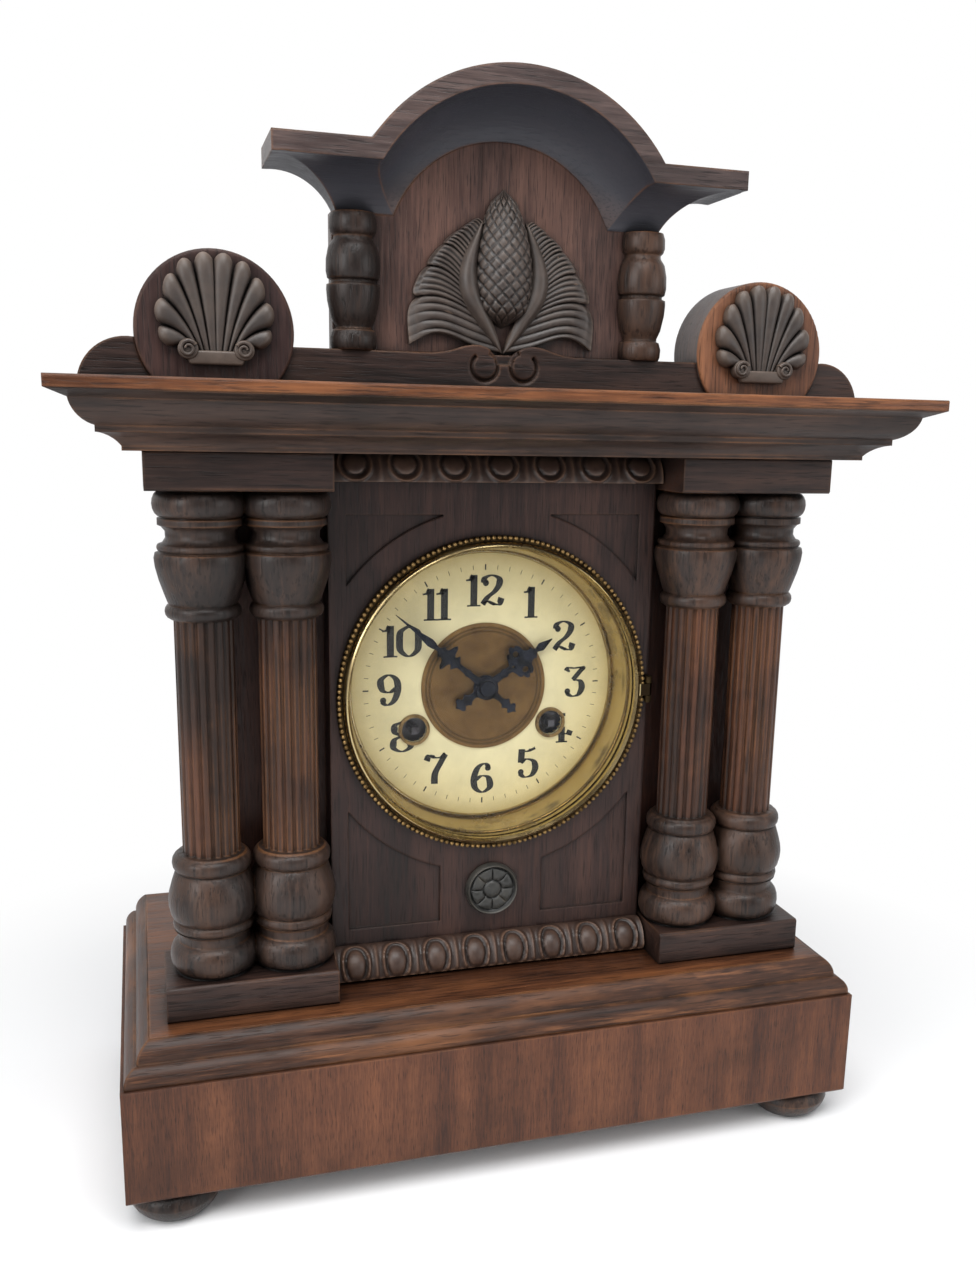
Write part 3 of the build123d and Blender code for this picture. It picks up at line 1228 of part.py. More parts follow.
def winding_arbor(place):
    """A barrel arbor with a square for the key, and its ratchet in front of the plate."""
    x, z = place[0], DIAL_Z + place[1]
    square_front, square_back = PANEL_BACK - SQUARE_REACH, PANEL_BACK + SQUARE_REACH
    half = WINDER_SQUARE / 2
    shaft = bar(x, z, WINDER_RADIUS, square_back, MOVEMENT_BACK)
    shaft += block(x - half, x + half, square_front, square_back, z - half, z + half)
    tips = ring_of(RATCHET_RADIUS, RATCHET_COUNT)
    roots = ring_of(RATCHET_RADIUS - RATCHET_TOOTH, RATCHET_COUNT, RATCHET_LEAN / RATCHET_COUNT)
    points = [point for both in zip(tips, roots) for point in both]
    face = Polygon(*points, align=None) - eight_sided(WINDER_RADIUS)
    ratchet_y = FRONT_PLATE - WHEEL_THICKNESS - RATCHET_GAP
    return [shaft, Pos(x, 0, z) * slab(face, ratchet_y, ratchet_y + WHEEL_THICKNESS)]


def pin_wheel():
    """The striking wheel whose pins lift the hammer."""
    pin_y = GREAT_Y - PINION_LEAD
    lift_pin = bar(0, 0, LIFT_PIN_RADIUS, PIN_Y - LIFT_PIN_LENGTH, PIN_Y)
    circle = PIN_MODULE * PIN_WHEEL_COUNT / 2 - LIFT_PIN_INSET
    ring = [Pos(x, 0, z) * lift_pin for x, z in ring_of(circle, LIFT_PIN_COUNT)]
    return [
        arbor(PIN_WHEEL),
        wheel(PIN_WHEEL_COUNT, PIN_MODULE, PIN_WHEEL, LOCKING, ARBOR_RADIUS, PIN_Y),
        pinion(GREAT_PINION_COUNT, GREAT_MODULE, PIN_WHEEL, STRIKE_BARREL, ARBOR_RADIUS, pin_y),
    ] + moved(ring, x=PIN_WHEEL[0], z=DIAL_Z + PIN_WHEEL[1])


def locking_wheel():
    pin_y = PIN_Y - PINION_LEAD
    return [
        arbor(LOCKING),
        wheel(LOCKING_WHEEL_COUNT, LOCKING_MODULE, LOCKING, FLY, ARBOR_RADIUS, LOCKING_Y),
        pinion(LOCKING_PINION_COUNT, PIN_MODULE, LOCKING, PIN_WHEEL, ARBOR_RADIUS, pin_y),
    ]


def strike_fly():
    """The air brake: a two-bladed fan on the last arbor of the striking train."""
    pin_y = LOCKING_Y - PINION_LEAD
    z = DIAL_Z + FLY[1]
    front, back = TRAIN_FRONT + FLY_FRONT_GAP, pin_y - FLY_BACK_GAP
    blade = block(-FLY_RADIUS, FLY_RADIUS, front, back, -FLY_BLADE / 2, FLY_BLADE / 2)
    hub = bar(0, 0, 2 * ARBOR_RADIUS, front, back)
    vane = blade + hub - bar(0, 0, ARBOR_RADIUS + SEAT_GAP, TRAIN_FRONT, pin_y)
    leaves = pinion(FLY_PINION_COUNT, LOCKING_MODULE, FLY, LOCKING, ARBOR_RADIUS, pin_y)
    return [arbor(FLY), Pos(FLY[0], 0, z) * vane, leaves]


# Plates and what hangs on them
ARBOR_PLACES = (CENTRE, INTERMEDIATE, THIRD, ESCAPE, ANCHOR, PIN_WHEEL, LOCKING, FLY, HAMMER)
PILLAR_X = PLATE_WIDTH / 2 - PILLAR_INSET
PILLAR_PLACES = [
    (side * PILLAR_X, z) for side in (-1, 1) for z in (PILLAR_INSET - PLATE_BELOW, PLATE_ABOVE - PILLAR_INSET)
]


def plate(y, extra=()):
    half = PLATE_WIDTH / 2
    sheet = block(-half, half, y, y + PLATE_THICKNESS, DIAL_Z - PLATE_BELOW, DIAL_Z + PLATE_ABOVE)
    for place in ARBOR_PLACES + tuple(extra):
        sheet -= arbor(place, ARBOR_RADIUS + PIVOT_GAP, y, y + PLATE_THICKNESS)
    for place in (TIME_BARREL, STRIKE_BARREL):
        sheet -= arbor(place, WINDER_RADIUS + PIVOT_GAP, y, y + PLATE_THICKNESS)
    return sheet


def movement_plates():
    return [plate(FRONT_PLATE, [MINUTE_WHEEL]), plate(BACK_PLATE)]


def plate_pillars():
    return [arbor(place, PILLAR_RADIUS, TRAIN_FRONT, BACK_PLATE) for place in PILLAR_PLACES]


def movement_posts():
    """Short posts that hold the movement to the back of the front panel."""
    return [arbor(place, PILLAR_RADIUS, PANEL_BACK, FRONT_PLATE) for place in PILLAR_PLACES]


PENDULUM_Y = MOVEMENT_BACK + PENDULUM_STANDOFF
PIVOT_Z = DIAL_Z + ANCHOR[1]
STUD_FRONT = PENDULUM_Y - EYE_LENGTH / 2 - EYE_PLAY
COCK_FRONT = PENDULUM_Y + EYE_LENGTH / 2 + COCK_PLAY
CRUTCH_BACK = STUD_FRONT - CRUTCH_PLAY


def anchor():
    """The pallets, their arbor and the crutch that embraces the pendulum rod."""
    right_arm = [
        (ANCHOR_CROOK, ANCHOR_SHOULDER),
        (ANCHOR_REACH - PALLET_TAPER, -ANCHOR_CROOK),
        (ANCHOR_REACH, -ANCHOR_DROP),
        (ANCHOR_REACH + PALLET_WIDTH, -ANCHOR_DROP),
        (ANCHOR_REACH + PALLET_WIDTH / 2, ANCHOR_SHOULDER),
        (ANCHOR_NECK, ANCHOR_HUB),
    ]
    left_arm = [(-x, z) for x, z in reversed(right_arm)]
    face = Polygon(*right_arm, *left_arm, align=None) + Circle(ANCHOR_HUB)
    face -= eight_sided(ARBOR_RADIUS)
    pallets = Pos(0, 0, PIVOT_Z) * slab(face, ESCAPE_Y, ESCAPE_Y + WHEEL_THICKNESS)
    crutch_front = CRUTCH_BACK - CRUTCH_THICKNESS
    foot = PIVOT_Z - CRUTCH_LENGTH
    half = CRUTCH_WIDTH / 2
    arm = block(-half, half, crutch_front, CRUTCH_BACK, foot, PIVOT_Z)
    arm += bar(0, PIVOT_Z, 3 * ARBOR_RADIUS, crutch_front, CRUTCH_BACK)
    prong = ROD_RADIUS + BRASS_GAP
    outside = prong + CRUTCH_THICKNESS
    low, high = foot - CRUTCH_FORK / 2, foot + CRUTCH_FORK / 2
    arm += block(-outside, outside, crutch_front, CRUTCH_BACK, low, high)
    for side in (-1, 1):
        x0, x1 = sorted((side * prong, side * outside))
        arm += block(x0, x1, CRUTCH_BACK, PENDULUM_Y + ROD_RADIUS, low, high)
    arm -= arbor(ANCHOR, ARBOR_RADIUS + SEAT_GAP, crutch_front, CRUTCH_BACK)
    return [arbor(ANCHOR, ARBOR_RADIUS, FRONT_PLATE, CRUTCH_BACK), pallets, arm]


def back_cock():
    """The bridge on the back plate whose stud the pendulum hangs on."""
    half = COCK_WIDTH / 2
    top = PIVOT_Z + EYE_RADIUS + COCK_MARGIN
    bridge = block(-half, half, COCK_FRONT, COCK_FRONT + COCK_THICKNESS, PIVOT_Z - EYE_RADIUS, top)
    bridge += bar(0, PIVOT_Z, STUD_RADIUS, STUD_FRONT, COCK_FRONT)
    for side in (-1, 1):
        x = side * (half - COCK_POST_INSET)
        bridge += bar(x, PIVOT_Z + COCK_POST_RISE, COCK_POST, MOVEMENT_BACK, COCK_FRONT)
    return [bridge]


ROD_FOOT = PIVOT_Z - PENDULUM_LENGTH - ROD_TAIL


def pendulum_rod():
    eye = bar(0, PIVOT_Z, EYE_RADIUS, PENDULUM_Y - EYE_LENGTH / 2, PENDULUM_Y + EYE_LENGTH / 2)
    rod = post(0, PENDULUM_Y, ROD_RADIUS, ROD_FOOT, PIVOT_Z - STUD_RADIUS - EYE_WALL)
    eye -= bar(0, PIVOT_Z, STUD_RADIUS + PIVOT_GAP, PENDULUM_Y - EYE_LENGTH, PENDULUM_Y + EYE_LENGTH)
    return [eye + rod]


def pendulum_bob():
    """A brass lens on the rod."""
    rim = BOB_RIM / 2
    lens = turned([(BOB_RADIUS, -rim, 0), (BOB_RADIUS, rim, 0), (BOB_POLE, BOB_THICKNESS / 2, BOB_SWELL)])
    lens = lens + mirror(lens, Plane.XY)
    lens = Pos(0, PENDULUM_Y, PIVOT_Z - PENDULUM_LENGTH) * Rot(90, 0, 0) * lens
    return [lens - post(0, PENDULUM_Y, ROD_RADIUS + SEAT_GAP, ROD_FOOT, PIVOT_Z)]


def rating_nut():
    high = PIVOT_Z - PENDULUM_LENGTH - BOB_RADIUS - SEAT_GAP
    nut = post(0, PENDULUM_Y, RATING_NUT_RADIUS, high - RATING_NUT_HEIGHT, high)
    return [nut - post(0, PENDULUM_Y, ROD_RADIUS + PIVOT_GAP, high - RATING_NUT_HEIGHT, high)]


GONG_Y = BACK_FRAME_FRONT - GONG_FROM_BACK
GONG_Z = DIAL_Z - GONG_DROP
GONG_OUTER = GONG_INNER + GONG_PITCH / 2 * (GONG_HALF_TURN_COUNT - 1)


def coil_gong():
    """A flat coil of steel wire; each half turn is a wider half circle than the last."""
    path = []
    x_in = GONG_OFFSET + GONG_INNER
    radius = GONG_INNER
    side = 1
    point = x_in
    for i in range(GONG_HALF_TURN_COUNT):
        centre = point - side * radius
        end = centre - side * radius
        top = GONG_Z + side * radius
        path.append(ThreePointArc((point, GONG_Y, GONG_Z), (centre, GONG_Y, top), (end, GONG_Y, GONG_Z)))
        point = end
        radius += GONG_PITCH / 2
        side = -side
    foot = (point, GONG_Y, DECK_TOP + GONG_BLOCK)
    path.append(Line((point, GONG_Y, GONG_Z), foot))
    wire = Wire(Curve() + path)
    start = Plane((x_in, GONG_Y, GONG_Z), x_dir=(1, 0, 0), z_dir=(0, 0, 1))
    return [sweep(start * Circle(GONG_WIRE), path=wire)], point


def gong_block(foot_x):
    half = GONG_BLOCK / 2
    return [block(foot_x - half, foot_x + half, GONG_Y - half, GONG_Y + half, DECK_TOP, DECK_TOP + GONG_BLOCK)]


def hammer(strike_x):
    """The hammer and its arbor; the head rests just off the outer turn of the gong."""
    x, z = HAMMER[0], DIAL_Z + HAMMER[1]
    arm_front = MOVEMENT_BACK + HAMMER_STANDOFF
    arm_back = arm_front + HAMMER_ARM_THICKNESS
    low = z - HAMMER_ARM
    arm = block(x - HAMMER_WIDTH / 2, x + HAMMER_WIDTH / 2, arm_front, arm_back, low, z)
    arm += bar(x, z, 3 * ARBOR_RADIUS, arm_front, arm_back)
    arm -= bar(x, z, ARBOR_RADIUS + SEAT_GAP, arm_front, arm_back)
    neck = bar(x, low + HAMMER_WIDTH / 2, HAMMER_WIDTH / 2, arm_back, GONG_Y - HAMMER_HEAD_RADIUS / 2)
    head_end = strike_x - GONG_WIRE - HAMMER_GAP
    head = Pos(head_end - HAMMER_HEAD_LENGTH / 2, GONG_Y, low + HAMMER_WIDTH / 2)
    head = head * Rot(0, 90, 0) * Cylinder(HAMMER_HEAD_RADIUS, HAMMER_HEAD_LENGTH)
    return [arbor(HAMMER, ARBOR_RADIUS, FRONT_PLATE, arm_back), arm + neck + head]


# Every node and the solids in it
gong, gong_foot = coil_gong()
gong_left = GONG_OFFSET - GONG_OUTER

NODES = {
    "bun_feet": bun_feet(),
    "base_boards": base_boards(),
    "base_moulding": base_moulding(),
    "base_deck": base_deck(),
    "column_blocks": column_blocks(),
    "columns": columns(),
    "pilaster_boards": pilaster_boards(),
    "case_sides": case_sides(),
    "case_top_board": case_top_board(),
    "front_panel": front_panel(),
    "egg_mouldings": egg_mouldings(),
    "panel_rosette": panel_rosette(),
    "cornice_moulding": cornice_moulding(),
    "cornice_board": cornice_board(),
    "crest_rail": crest_rail(),
    "roundels": roundels(),
    "crest_end_blocks": crest_end_blocks(),
    "shell_carvings": shell_carvings(),
    "tympanum_board": tympanum_board(),
    "pediment_balusters": pediment_balusters(),
    "pediment_cornice": pediment_cornice(),
    "pineapple_carving": pineapple_carving(),
    "back_frame": back_frame(),
    "back_door": back_door(),
    "frame_hinge_leaves": frame_hinge_leaves(),
    "door_hinge_leaves": door_hinge_leaves(),
    "turn_button": turn_button() + turn_button_screw(),
    "bezel_surround": bezel_surround(),
    "bezel_ring": bezel_ring(),
    "bezel_glass": bezel_glass(),
    "bezel_hinge": bezel_hinge(),
    "sight_ring": sight_ring(),
    "dial_plate": dial_plate(),
    "dial_centre": dial_centre(),
    "winding_grommets": winding_grommets(),
    "minute_hand": minute_hand(),
    "hour_hand": hour_hand(),
    "hand_nut": hand_nut(),
    "cannon_pinion": cannon_pinion(),
    "minute_wheel": minute_wheel(),
    "hour_wheel": hour_wheel(),
    "movement_plates": movement_plates(),
    "movement_pillars": plate_pillars() + movement_posts(),
    "time_barrel": barrel(TIME_BARREL, INTERMEDIATE),
    "strike_barrel": barrel(STRIKE_BARREL, PIN_WHEEL),
    "time_winding_arbor": winding_arbor(TIME_BARREL),
    "strike_winding_arbor": winding_arbor(STRIKE_BARREL),
    "intermediate_wheel": intermediate_wheel(),
    "centre_wheel": centre_wheel(),
    "third_wheel": third_wheel(),
    "escape_wheel": escape_wheel(),
    "anchor": anchor(),
    "back_cock": back_cock(),
    "pendulum": pendulum_rod() + pendulum_bob(),
    "rating_nut": rating_nut(),
    "pin_wheel": pin_wheel(),
    "locking_wheel": locking_wheel(),
    "strike_fly": strike_fly(),
    "hammer": hammer(gong_left),
    "coil_gong": gong + gong_block(gong_foot),
}

os.makedirs("parts", exist_ok=True)
for name, pieces in NODES.items():
    solids = [solid for piece in pieces for solid in piece.solids()]
    export_step(Compound(children=solids), f"parts/{name}.step")
print(len(NODES), "nodes")
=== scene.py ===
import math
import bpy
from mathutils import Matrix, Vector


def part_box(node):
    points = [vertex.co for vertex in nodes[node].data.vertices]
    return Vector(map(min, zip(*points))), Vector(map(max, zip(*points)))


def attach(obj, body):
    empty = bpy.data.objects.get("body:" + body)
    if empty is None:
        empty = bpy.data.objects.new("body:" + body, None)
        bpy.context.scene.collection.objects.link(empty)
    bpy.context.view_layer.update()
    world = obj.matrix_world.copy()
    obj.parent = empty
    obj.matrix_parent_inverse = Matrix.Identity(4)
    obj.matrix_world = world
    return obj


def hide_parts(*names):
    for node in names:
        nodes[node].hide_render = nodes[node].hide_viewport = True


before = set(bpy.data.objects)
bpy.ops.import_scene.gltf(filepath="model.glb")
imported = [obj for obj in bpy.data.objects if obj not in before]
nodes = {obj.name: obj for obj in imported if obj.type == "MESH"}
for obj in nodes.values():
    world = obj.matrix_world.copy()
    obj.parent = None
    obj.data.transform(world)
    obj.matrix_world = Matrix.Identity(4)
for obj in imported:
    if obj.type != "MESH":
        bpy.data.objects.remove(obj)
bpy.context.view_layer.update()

# %% [markdown]
# # A columned mantel clock
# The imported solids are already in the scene, in metres, with the floor at Z = 0. Most of the case
# and all of the movement keep those solids and get finishes. Carvings, columns, hands, numerals and
# beading are modelled here, because their charm is in relief that is quicker to sculpt on a mesh
# than to build as solids.

MM = 0.001

# %% [markdown]
# ## The camera
# The photo was taken from a little left of the middle and slightly above the dial. The place, turn
# and lens come from matching the straight edges of the base, cornice and pediment. A small shift
# keeps the picture's framing.

# %% Camera
CAMERA_PLACE = (-0.14662, -0.52167, 0.32499)
CAMERA_TURN = (17.42, -12.51, 1.26)
yaw, pitch, roll = (math.radians(angle) for angle in CAMERA_TURN)
forward = Vector((math.sin(yaw) * math.cos(pitch), math.cos(yaw) * math.cos(pitch), math.sin(pitch)))
level = Vector((math.cos(yaw), -math.sin(yaw), 0))
upright = level.cross(forward)
right = level * math.cos(roll) + upright * math.sin(roll)
up = upright * math.cos(roll) - level * math.sin(roll)
camera_data = bpy.data.cameras.new("photo_camera")
camera = bpy.data.objects.new("photo_camera", camera_data)
bpy.context.scene.collection.objects.link(camera)
turned = Matrix((right, up, -forward)).transposed().to_4x4()
camera.matrix_world = Matrix.Translation(CAMERA_PLACE) @ turned
camera_data.lens = 33.578
camera_data.shift_x = -0.0193
camera_data.shift_y = 0.0366
camera_data.clip_start = 0.01
bpy.context.scene.camera = camera
print("camera looks along", [round(v, 3) for v in forward])

# %% [markdown]
# ## Floor and light
# A studio shot of dark wood needs large, soft lamps, so that the polish shows as broad sheens. The
# world is white to the camera, a sweep from grey to white in reflections, and a quieter grey for
# lighting.

# %% Node helpers
def new_material(name):
    """An empty material with its nodes, links and surface shader."""
    material = bpy.data.materials.new(name)
    material.use_nodes = True
    tree = material.node_tree
    shader = tree.nodes["Principled BSDF"]
    return material, tree, shader


def node(tree, kind, inputs=None, **settings):
    """Add one shader node, set its options, and feed its inputs with values or sockets."""
    made = tree.nodes.new(kind)
    for key, value in settings.items():
        setattr(made, key, value)
    for key, value in (inputs or {}).items():
        if isinstance(value, bpy.types.NodeSocket):
            tree.links.new(value, made.inputs[key])
        else:
            made.inputs[key].default_value = value
    return made


def ramp(tree, factor, stops):
    """A colour ramp with (place, colour) stops."""
    made = node(tree, "ShaderNodeValToRGB", {"Fac": factor})
    elements = made.color_ramp.elements
    while len(elements) < len(stops):
        elements.new(0.5)
    for element, (place, colour) in zip(elements, stops):
        element.position = place
        element.color = (*colour, 1) if len(colour) == 3 else colour
    return made.outputs["Color"]


def maths(tree, operation, a, b=0.0, clamp=False):
    made = node(tree, "ShaderNodeMath", {0: a, 1: b}, operation=operation, use_clamp=clamp)
    return made.outputs[0]


def blend_colours(tree, factor, a, b, mode="MIX"):
    made = node(tree, "ShaderNodeMix", {0: factor, 6: a, 7: b}, data_type="RGBA", blend_type=mode)
    return made.outputs[2]


def grey(value):
    return (value, value, value)


def object_place(tree):
    """Where a point lies, in the coordinates of its object."""
    return node(tree, "ShaderNodeTexCoord").outputs["Object"]


def noise(tree, place, scale, detail, **more):
    """Cloudy noise at a place. more: Roughness or Distortion."""
    inputs = {"Vector": place, "Scale": scale, "Detail": detail, **more}
    return node(tree, "ShaderNodeTexNoise", inputs).outputs[0]


def grimed(tree, colour, reach):
    """Darken a colour in corners that are narrower than reach, as painted shade."""
    corner = node(tree, "ShaderNodeAmbientOcclusion", {"Distance": reach}, samples=6).outputs["AO"]
    corner_shade = ramp(tree, corner, [(0.3, grey(0.2)), (0.8, grey(1.0))])
    return blend_colours(tree, 1.0, colour, corner_shade, "MULTIPLY")


def roughen(tree, shader, height, strength, depth, normal=None):
    """Bump a shader's surface by a height, on top of another normal if there is one."""
    inputs = {"Strength": strength, "Distance": depth, "Height": height}
    if normal is not None:
        inputs["Normal"] = normal
    bump = node(tree, "ShaderNodeBump", inputs)
    tree.links.new(bump.outputs[0], shader.inputs["Normal"])


# %% Floor and world
bpy.context.scene.view_settings.view_transform = "Standard"
bpy.ops.object.select_all(action="DESELECT")
bpy.ops.mesh.primitive_plane_add(size=12, location=(0, 0, 0))
floor = bpy.context.object
floor.name = "studio_floor"
paper, tree, shader = new_material("white_paper")
shader.inputs["Base Color"].default_value = (0.9, 0.9, 0.9, 1)
shader.inputs["Roughness"].default_value = 0.9
place = object_place(tree)
away = node(tree, "ShaderNodeVectorMath", {0: place}, operation="LENGTH").outputs["Value"]
far = ramp(tree, maths(tree, "MULTIPLY", away, 1.6), [(0.28, grey(0.0)), (0.62, grey(1.0))])
seen = node(tree, "ShaderNodeLightPath").outputs["Is Camera Ray"]
glow = node(tree, "ShaderNodeEmission", {"Color": (1, 1, 1, 1)})
share = maths(tree, "MULTIPLY", far, seen)
mixed = node(tree, "ShaderNodeMixShader", {0: share, 1: shader.outputs[0], 2: glow.outputs[0]})
tree.links.new(mixed.outputs[0], tree.nodes["Material Output"].inputs["Surface"])
floor.data.materials.append(paper)

world = bpy.data.worlds.new("studio")
bpy.context.scene.world = world
world.use_nodes = True
tree = world.node_tree
facing = node(tree, "ShaderNodeTexCoord").outputs["Generated"]
parts = node(tree, "ShaderNodeSeparateXYZ", {0: facing})
behind = maths(tree, "ADD", maths(tree, "MULTIPLY", parts.outputs[1], 0.5), 0.5)
backdrop = ramp(tree, behind, [(0.25, grey(0.16)), (0.6, grey(1.0))])
rays = node(tree, "ShaderNodeLightPath")
mirrored_rays = maths(tree, "MAXIMUM", rays.outputs["Is Glossy Ray"], rays.outputs["Is Transmission Ray"])
tone = blend_colours(tree, mirrored_rays, (0.42, 0.43, 0.45, 1), backdrop)
tone = blend_colours(tree, rays.outputs["Is Camera Ray"], tone, (1, 1, 1, 1))
tree.links.new(tone, tree.nodes["Background"].inputs["Color"])


# %% Lamps
def lamp(name, place, target, size, power):
    data = bpy.data.lights.new(name, "AREA")
    data.shape = "RECTANGLE"
    data.size, data.size_y = size
    data.energy = power
    made = bpy.data.objects.new(name, data)
    bpy.context.scene.collection.objects.link(made)
    made.location = place
    made.rotation_euler = (Vector(target) - Vector(place)).to_track_quat("-Z", "Y").to_euler()


lamp("ceiling_light", (-0.15, -0.75, 1.5), (0, 0, 0.2), (1.3, 0.9), 24)
lamp("left_window", (-1.4, -1.0, 0.8), (0, -0.1, 0.25), (0.8, 1.0), 15)
lamp("right_fill", (1.3, -1.2, 0.6), (0, 0, 0.2), (0.8, 0.8), 6)

# %% [markdown]
# ## Stained wood
# The case is a pale timber under a walnut stain and old wax. Grain is noise stretched along the
# board, pores are short dark flecks, and the stain has worn through to orange wood where edges are
# handled. The bevel node finds those edges: where its rounded normal leaves the flat one, the
# surface is near a corner. Ambient occlusion finds narrow corners and darkens them with painted
# shade.

# %% Wood helpers
def stretched(tree, along, across, pull=0.05):
    """Object coordinates pulled out along the grain. along is x, y, z or xy (strips that turn a corner)."""
    place = object_place(tree)
    long = across * pull
    if along == "xy":
        parts = node(tree, "ShaderNodeSeparateXYZ", {0: place})
        run = maths(tree, "ADD", parts.outputs[0], parts.outputs[1])
        place = node(tree, "ShaderNodeCombineXYZ", {0: run, 2: parts.outputs[2]}).outputs[0]
        scale = (long, across, across)
    else:
        scale = tuple(long if axis == along else across for axis in "xyz")
    return node(tree, "ShaderNodeMapping", {0: place, 3: scale}).outputs[0]


def rounded_edges(tree, radius):
    """The normal of a surface with softened edges, and a mask that is 1 along them."""
    soft = node(tree, "ShaderNodeBevel", {"Radius": radius}, samples=4).outputs[0]
    flat = node(tree, "ShaderNodeNewGeometry").outputs["Normal"]
    facing = node(tree, "ShaderNodeVectorMath", {0: soft, 1: flat}, operation="DOT_PRODUCT").outputs["Value"]
    return soft, maths(tree, "MULTIPLY", maths(tree, "SUBTRACT", 1.0, facing), 7.0, clamp=True)


def zone(tree, axis, low, high):
    """1 where the X, Y or Z of a point lies between low and high."""
    parts = node(tree, "ShaderNodeSeparateXYZ", {0: object_place(tree)})
    value = parts.outputs["XYZ".index(axis)]
    above = maths(tree, "GREATER_THAN", value, low)
    below = maths(tree, "LESS_THAN", value, high)
    return maths(tree, "MULTIPLY", above, below)


# %% Wood recipe
WORN = (0.33, 0.135, 0.045)
EDGE_RADIUS = 0.0014
WOOD_CORNER = 0.009


def stained_wood(name, along, dark, mid, light, wear=0.6, across=220.0, gloss=0.4, patchy=0.7,
                 zones=(), hollow=None):
    """Wood in three tones, with its grain along an axis.

    zones: (list of (axis, low, high), tint) multiply the colour in a box.
    hollow: colour of faces that look down, painted shade with a cool painted reflection.
    """
    material, tree, shader = new_material(name)
    grain = stretched(tree, along, across)
    broad = noise(tree, grain, 0.16, 5.0, Distortion=0.5)
    fibre = noise(tree, grain, 2.6, 8.0, Roughness=0.68)
    pores = noise(tree, grain, 6.5, 3.0)
    blotch = noise(tree, object_place(tree), 19.0, 5.0, Roughness=0.62)
    mixed = maths(tree, "ADD", maths(tree, "MULTIPLY", broad, 0.5), maths(tree, "MULTIPLY", fibre, 0.5))
    colour = ramp(tree, mixed, [(0.36, dark), (0.5, mid), (0.64, light)])
    stain = ramp(tree, blotch, [(0.34, grey(0.5)), (0.62, grey(1.15))])
    colour = blend_colours(tree, patchy, colour, stain, "MULTIPLY")
    cloud = noise(tree, stretched(tree, along, 60.0, 0.2), 1.0, 5.0)
    streak = ramp(tree, cloud, [(0.5, grey(0.0)), (0.72, grey(0.6))])
    colour = blend_colours(tree, streak, colour, (*light, 1))
    fleck = ramp(tree, pores, [(0.36, grey(0.25)), (0.44, grey(1.0))])
    colour = blend_colours(tree, 0.7, colour, fleck, "MULTIPLY")
    for limits, tint in zones:
        inside = zone(tree, *limits[0])
        for limit in limits[1:]:
            inside = maths(tree, "MULTIPLY", inside, zone(tree, *limit))
        tinted = blend_colours(tree, 1.0, colour, (*tint, 1), "MULTIPLY")
        colour = blend_colours(tree, inside, colour, tinted)
    # Faces that look down take painted shade, tinted by a cool painted reflection.
    if hollow:
        normal = node(tree, "ShaderNodeNewGeometry").outputs["Normal"]
        facing = node(tree, "ShaderNodeSeparateXYZ", {0: normal}).outputs[2]
        down = maths(tree, "MULTIPLY", facing, -1.0)
        under = ramp(tree, down, [(0.12, grey(0.0)), (0.4, grey(0.85))])
        colour = blend_colours(tree, under, colour, (*hollow, 1))
    soft, edges = rounded_edges(tree, EDGE_RADIUS)
    patch = ramp(tree, blotch, [(0.42, grey(0.05)), (0.6, grey(1.0))])
    rubbed = maths(tree, "MULTIPLY", maths(tree, "MULTIPLY", edges, patch), wear, clamp=True)
    colour = blend_colours(tree, rubbed, colour, (*WORN, 1))
    # Ambient occlusion paints shade into the narrow corners.
    tree.links.new(grimed(tree, colour, WOOD_CORNER), shader.inputs["Base Color"])
    dull = ramp(tree, fibre, [(0.3, grey(gloss - 0.08)), (0.7, grey(gloss + 0.14))])
    tree.links.new(dull, shader.inputs["Roughness"])
    height = maths(tree, "ADD", maths(tree, "MULTIPLY", fleck, 0.7), maths(tree, "MULTIPLY", fibre, 0.6))
    roughen(tree, shader, height, 0.3, 0.0006, soft)
    shader.inputs["Specular IOR Level"].default_value = 0.3
    return material


# %% Wood finishes
low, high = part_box("columns")
COLUMN_BASE, COLUMN_CAP = 0.0525, 0.0515
SHAFT_LOW, SHAFT_HIGH = low.z + COLUMN_BASE, high.z - COLUMN_CAP
RIM_DEPTH = 0.0012
rim_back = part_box("roundels")[0].y + RIM_DEPTH
upright_veneer = stained_wood("upright_veneer", "z", (0.040, 0.015, 0.009), (0.092, 0.033, 0.016),
                              (0.150, 0.056, 0.026), 0.3, 520.0, 0.46, 0.75)
pilaster_veneer = stained_wood("pilaster_veneer", "z", (0.016, 0.007, 0.005), (0.040, 0.016, 0.011),
                               (0.080, 0.031, 0.019), 0.3, 320.0)
# The tympanum's cool grey tones are partly the stain and partly a painted cool reflection on the varnish.
arch_board = stained_wood("arch_board", "z", (0.034, 0.018, 0.015), (0.080, 0.043, 0.035),
                          (0.150, 0.078, 0.058), 0.3, 320.0, 0.36, 0.6)
lying_board = stained_wood("lying_board", "x", (0.026, 0.010, 0.006), (0.098, 0.035, 0.015),
                           (0.240, 0.088, 0.032), 0.8, 220.0, 0.32)
run_moulding = stained_wood("run_moulding", "xy", (0.010, 0.005, 0.004), (0.054, 0.023, 0.013),
                            (0.260, 0.105, 0.042), 1.0)
cornice_wood = stained_wood("cornice_wood", "xy", (0.015, 0.010, 0.008), (0.040, 0.024, 0.019),
                            (0.085, 0.048, 0.034), 0.6)
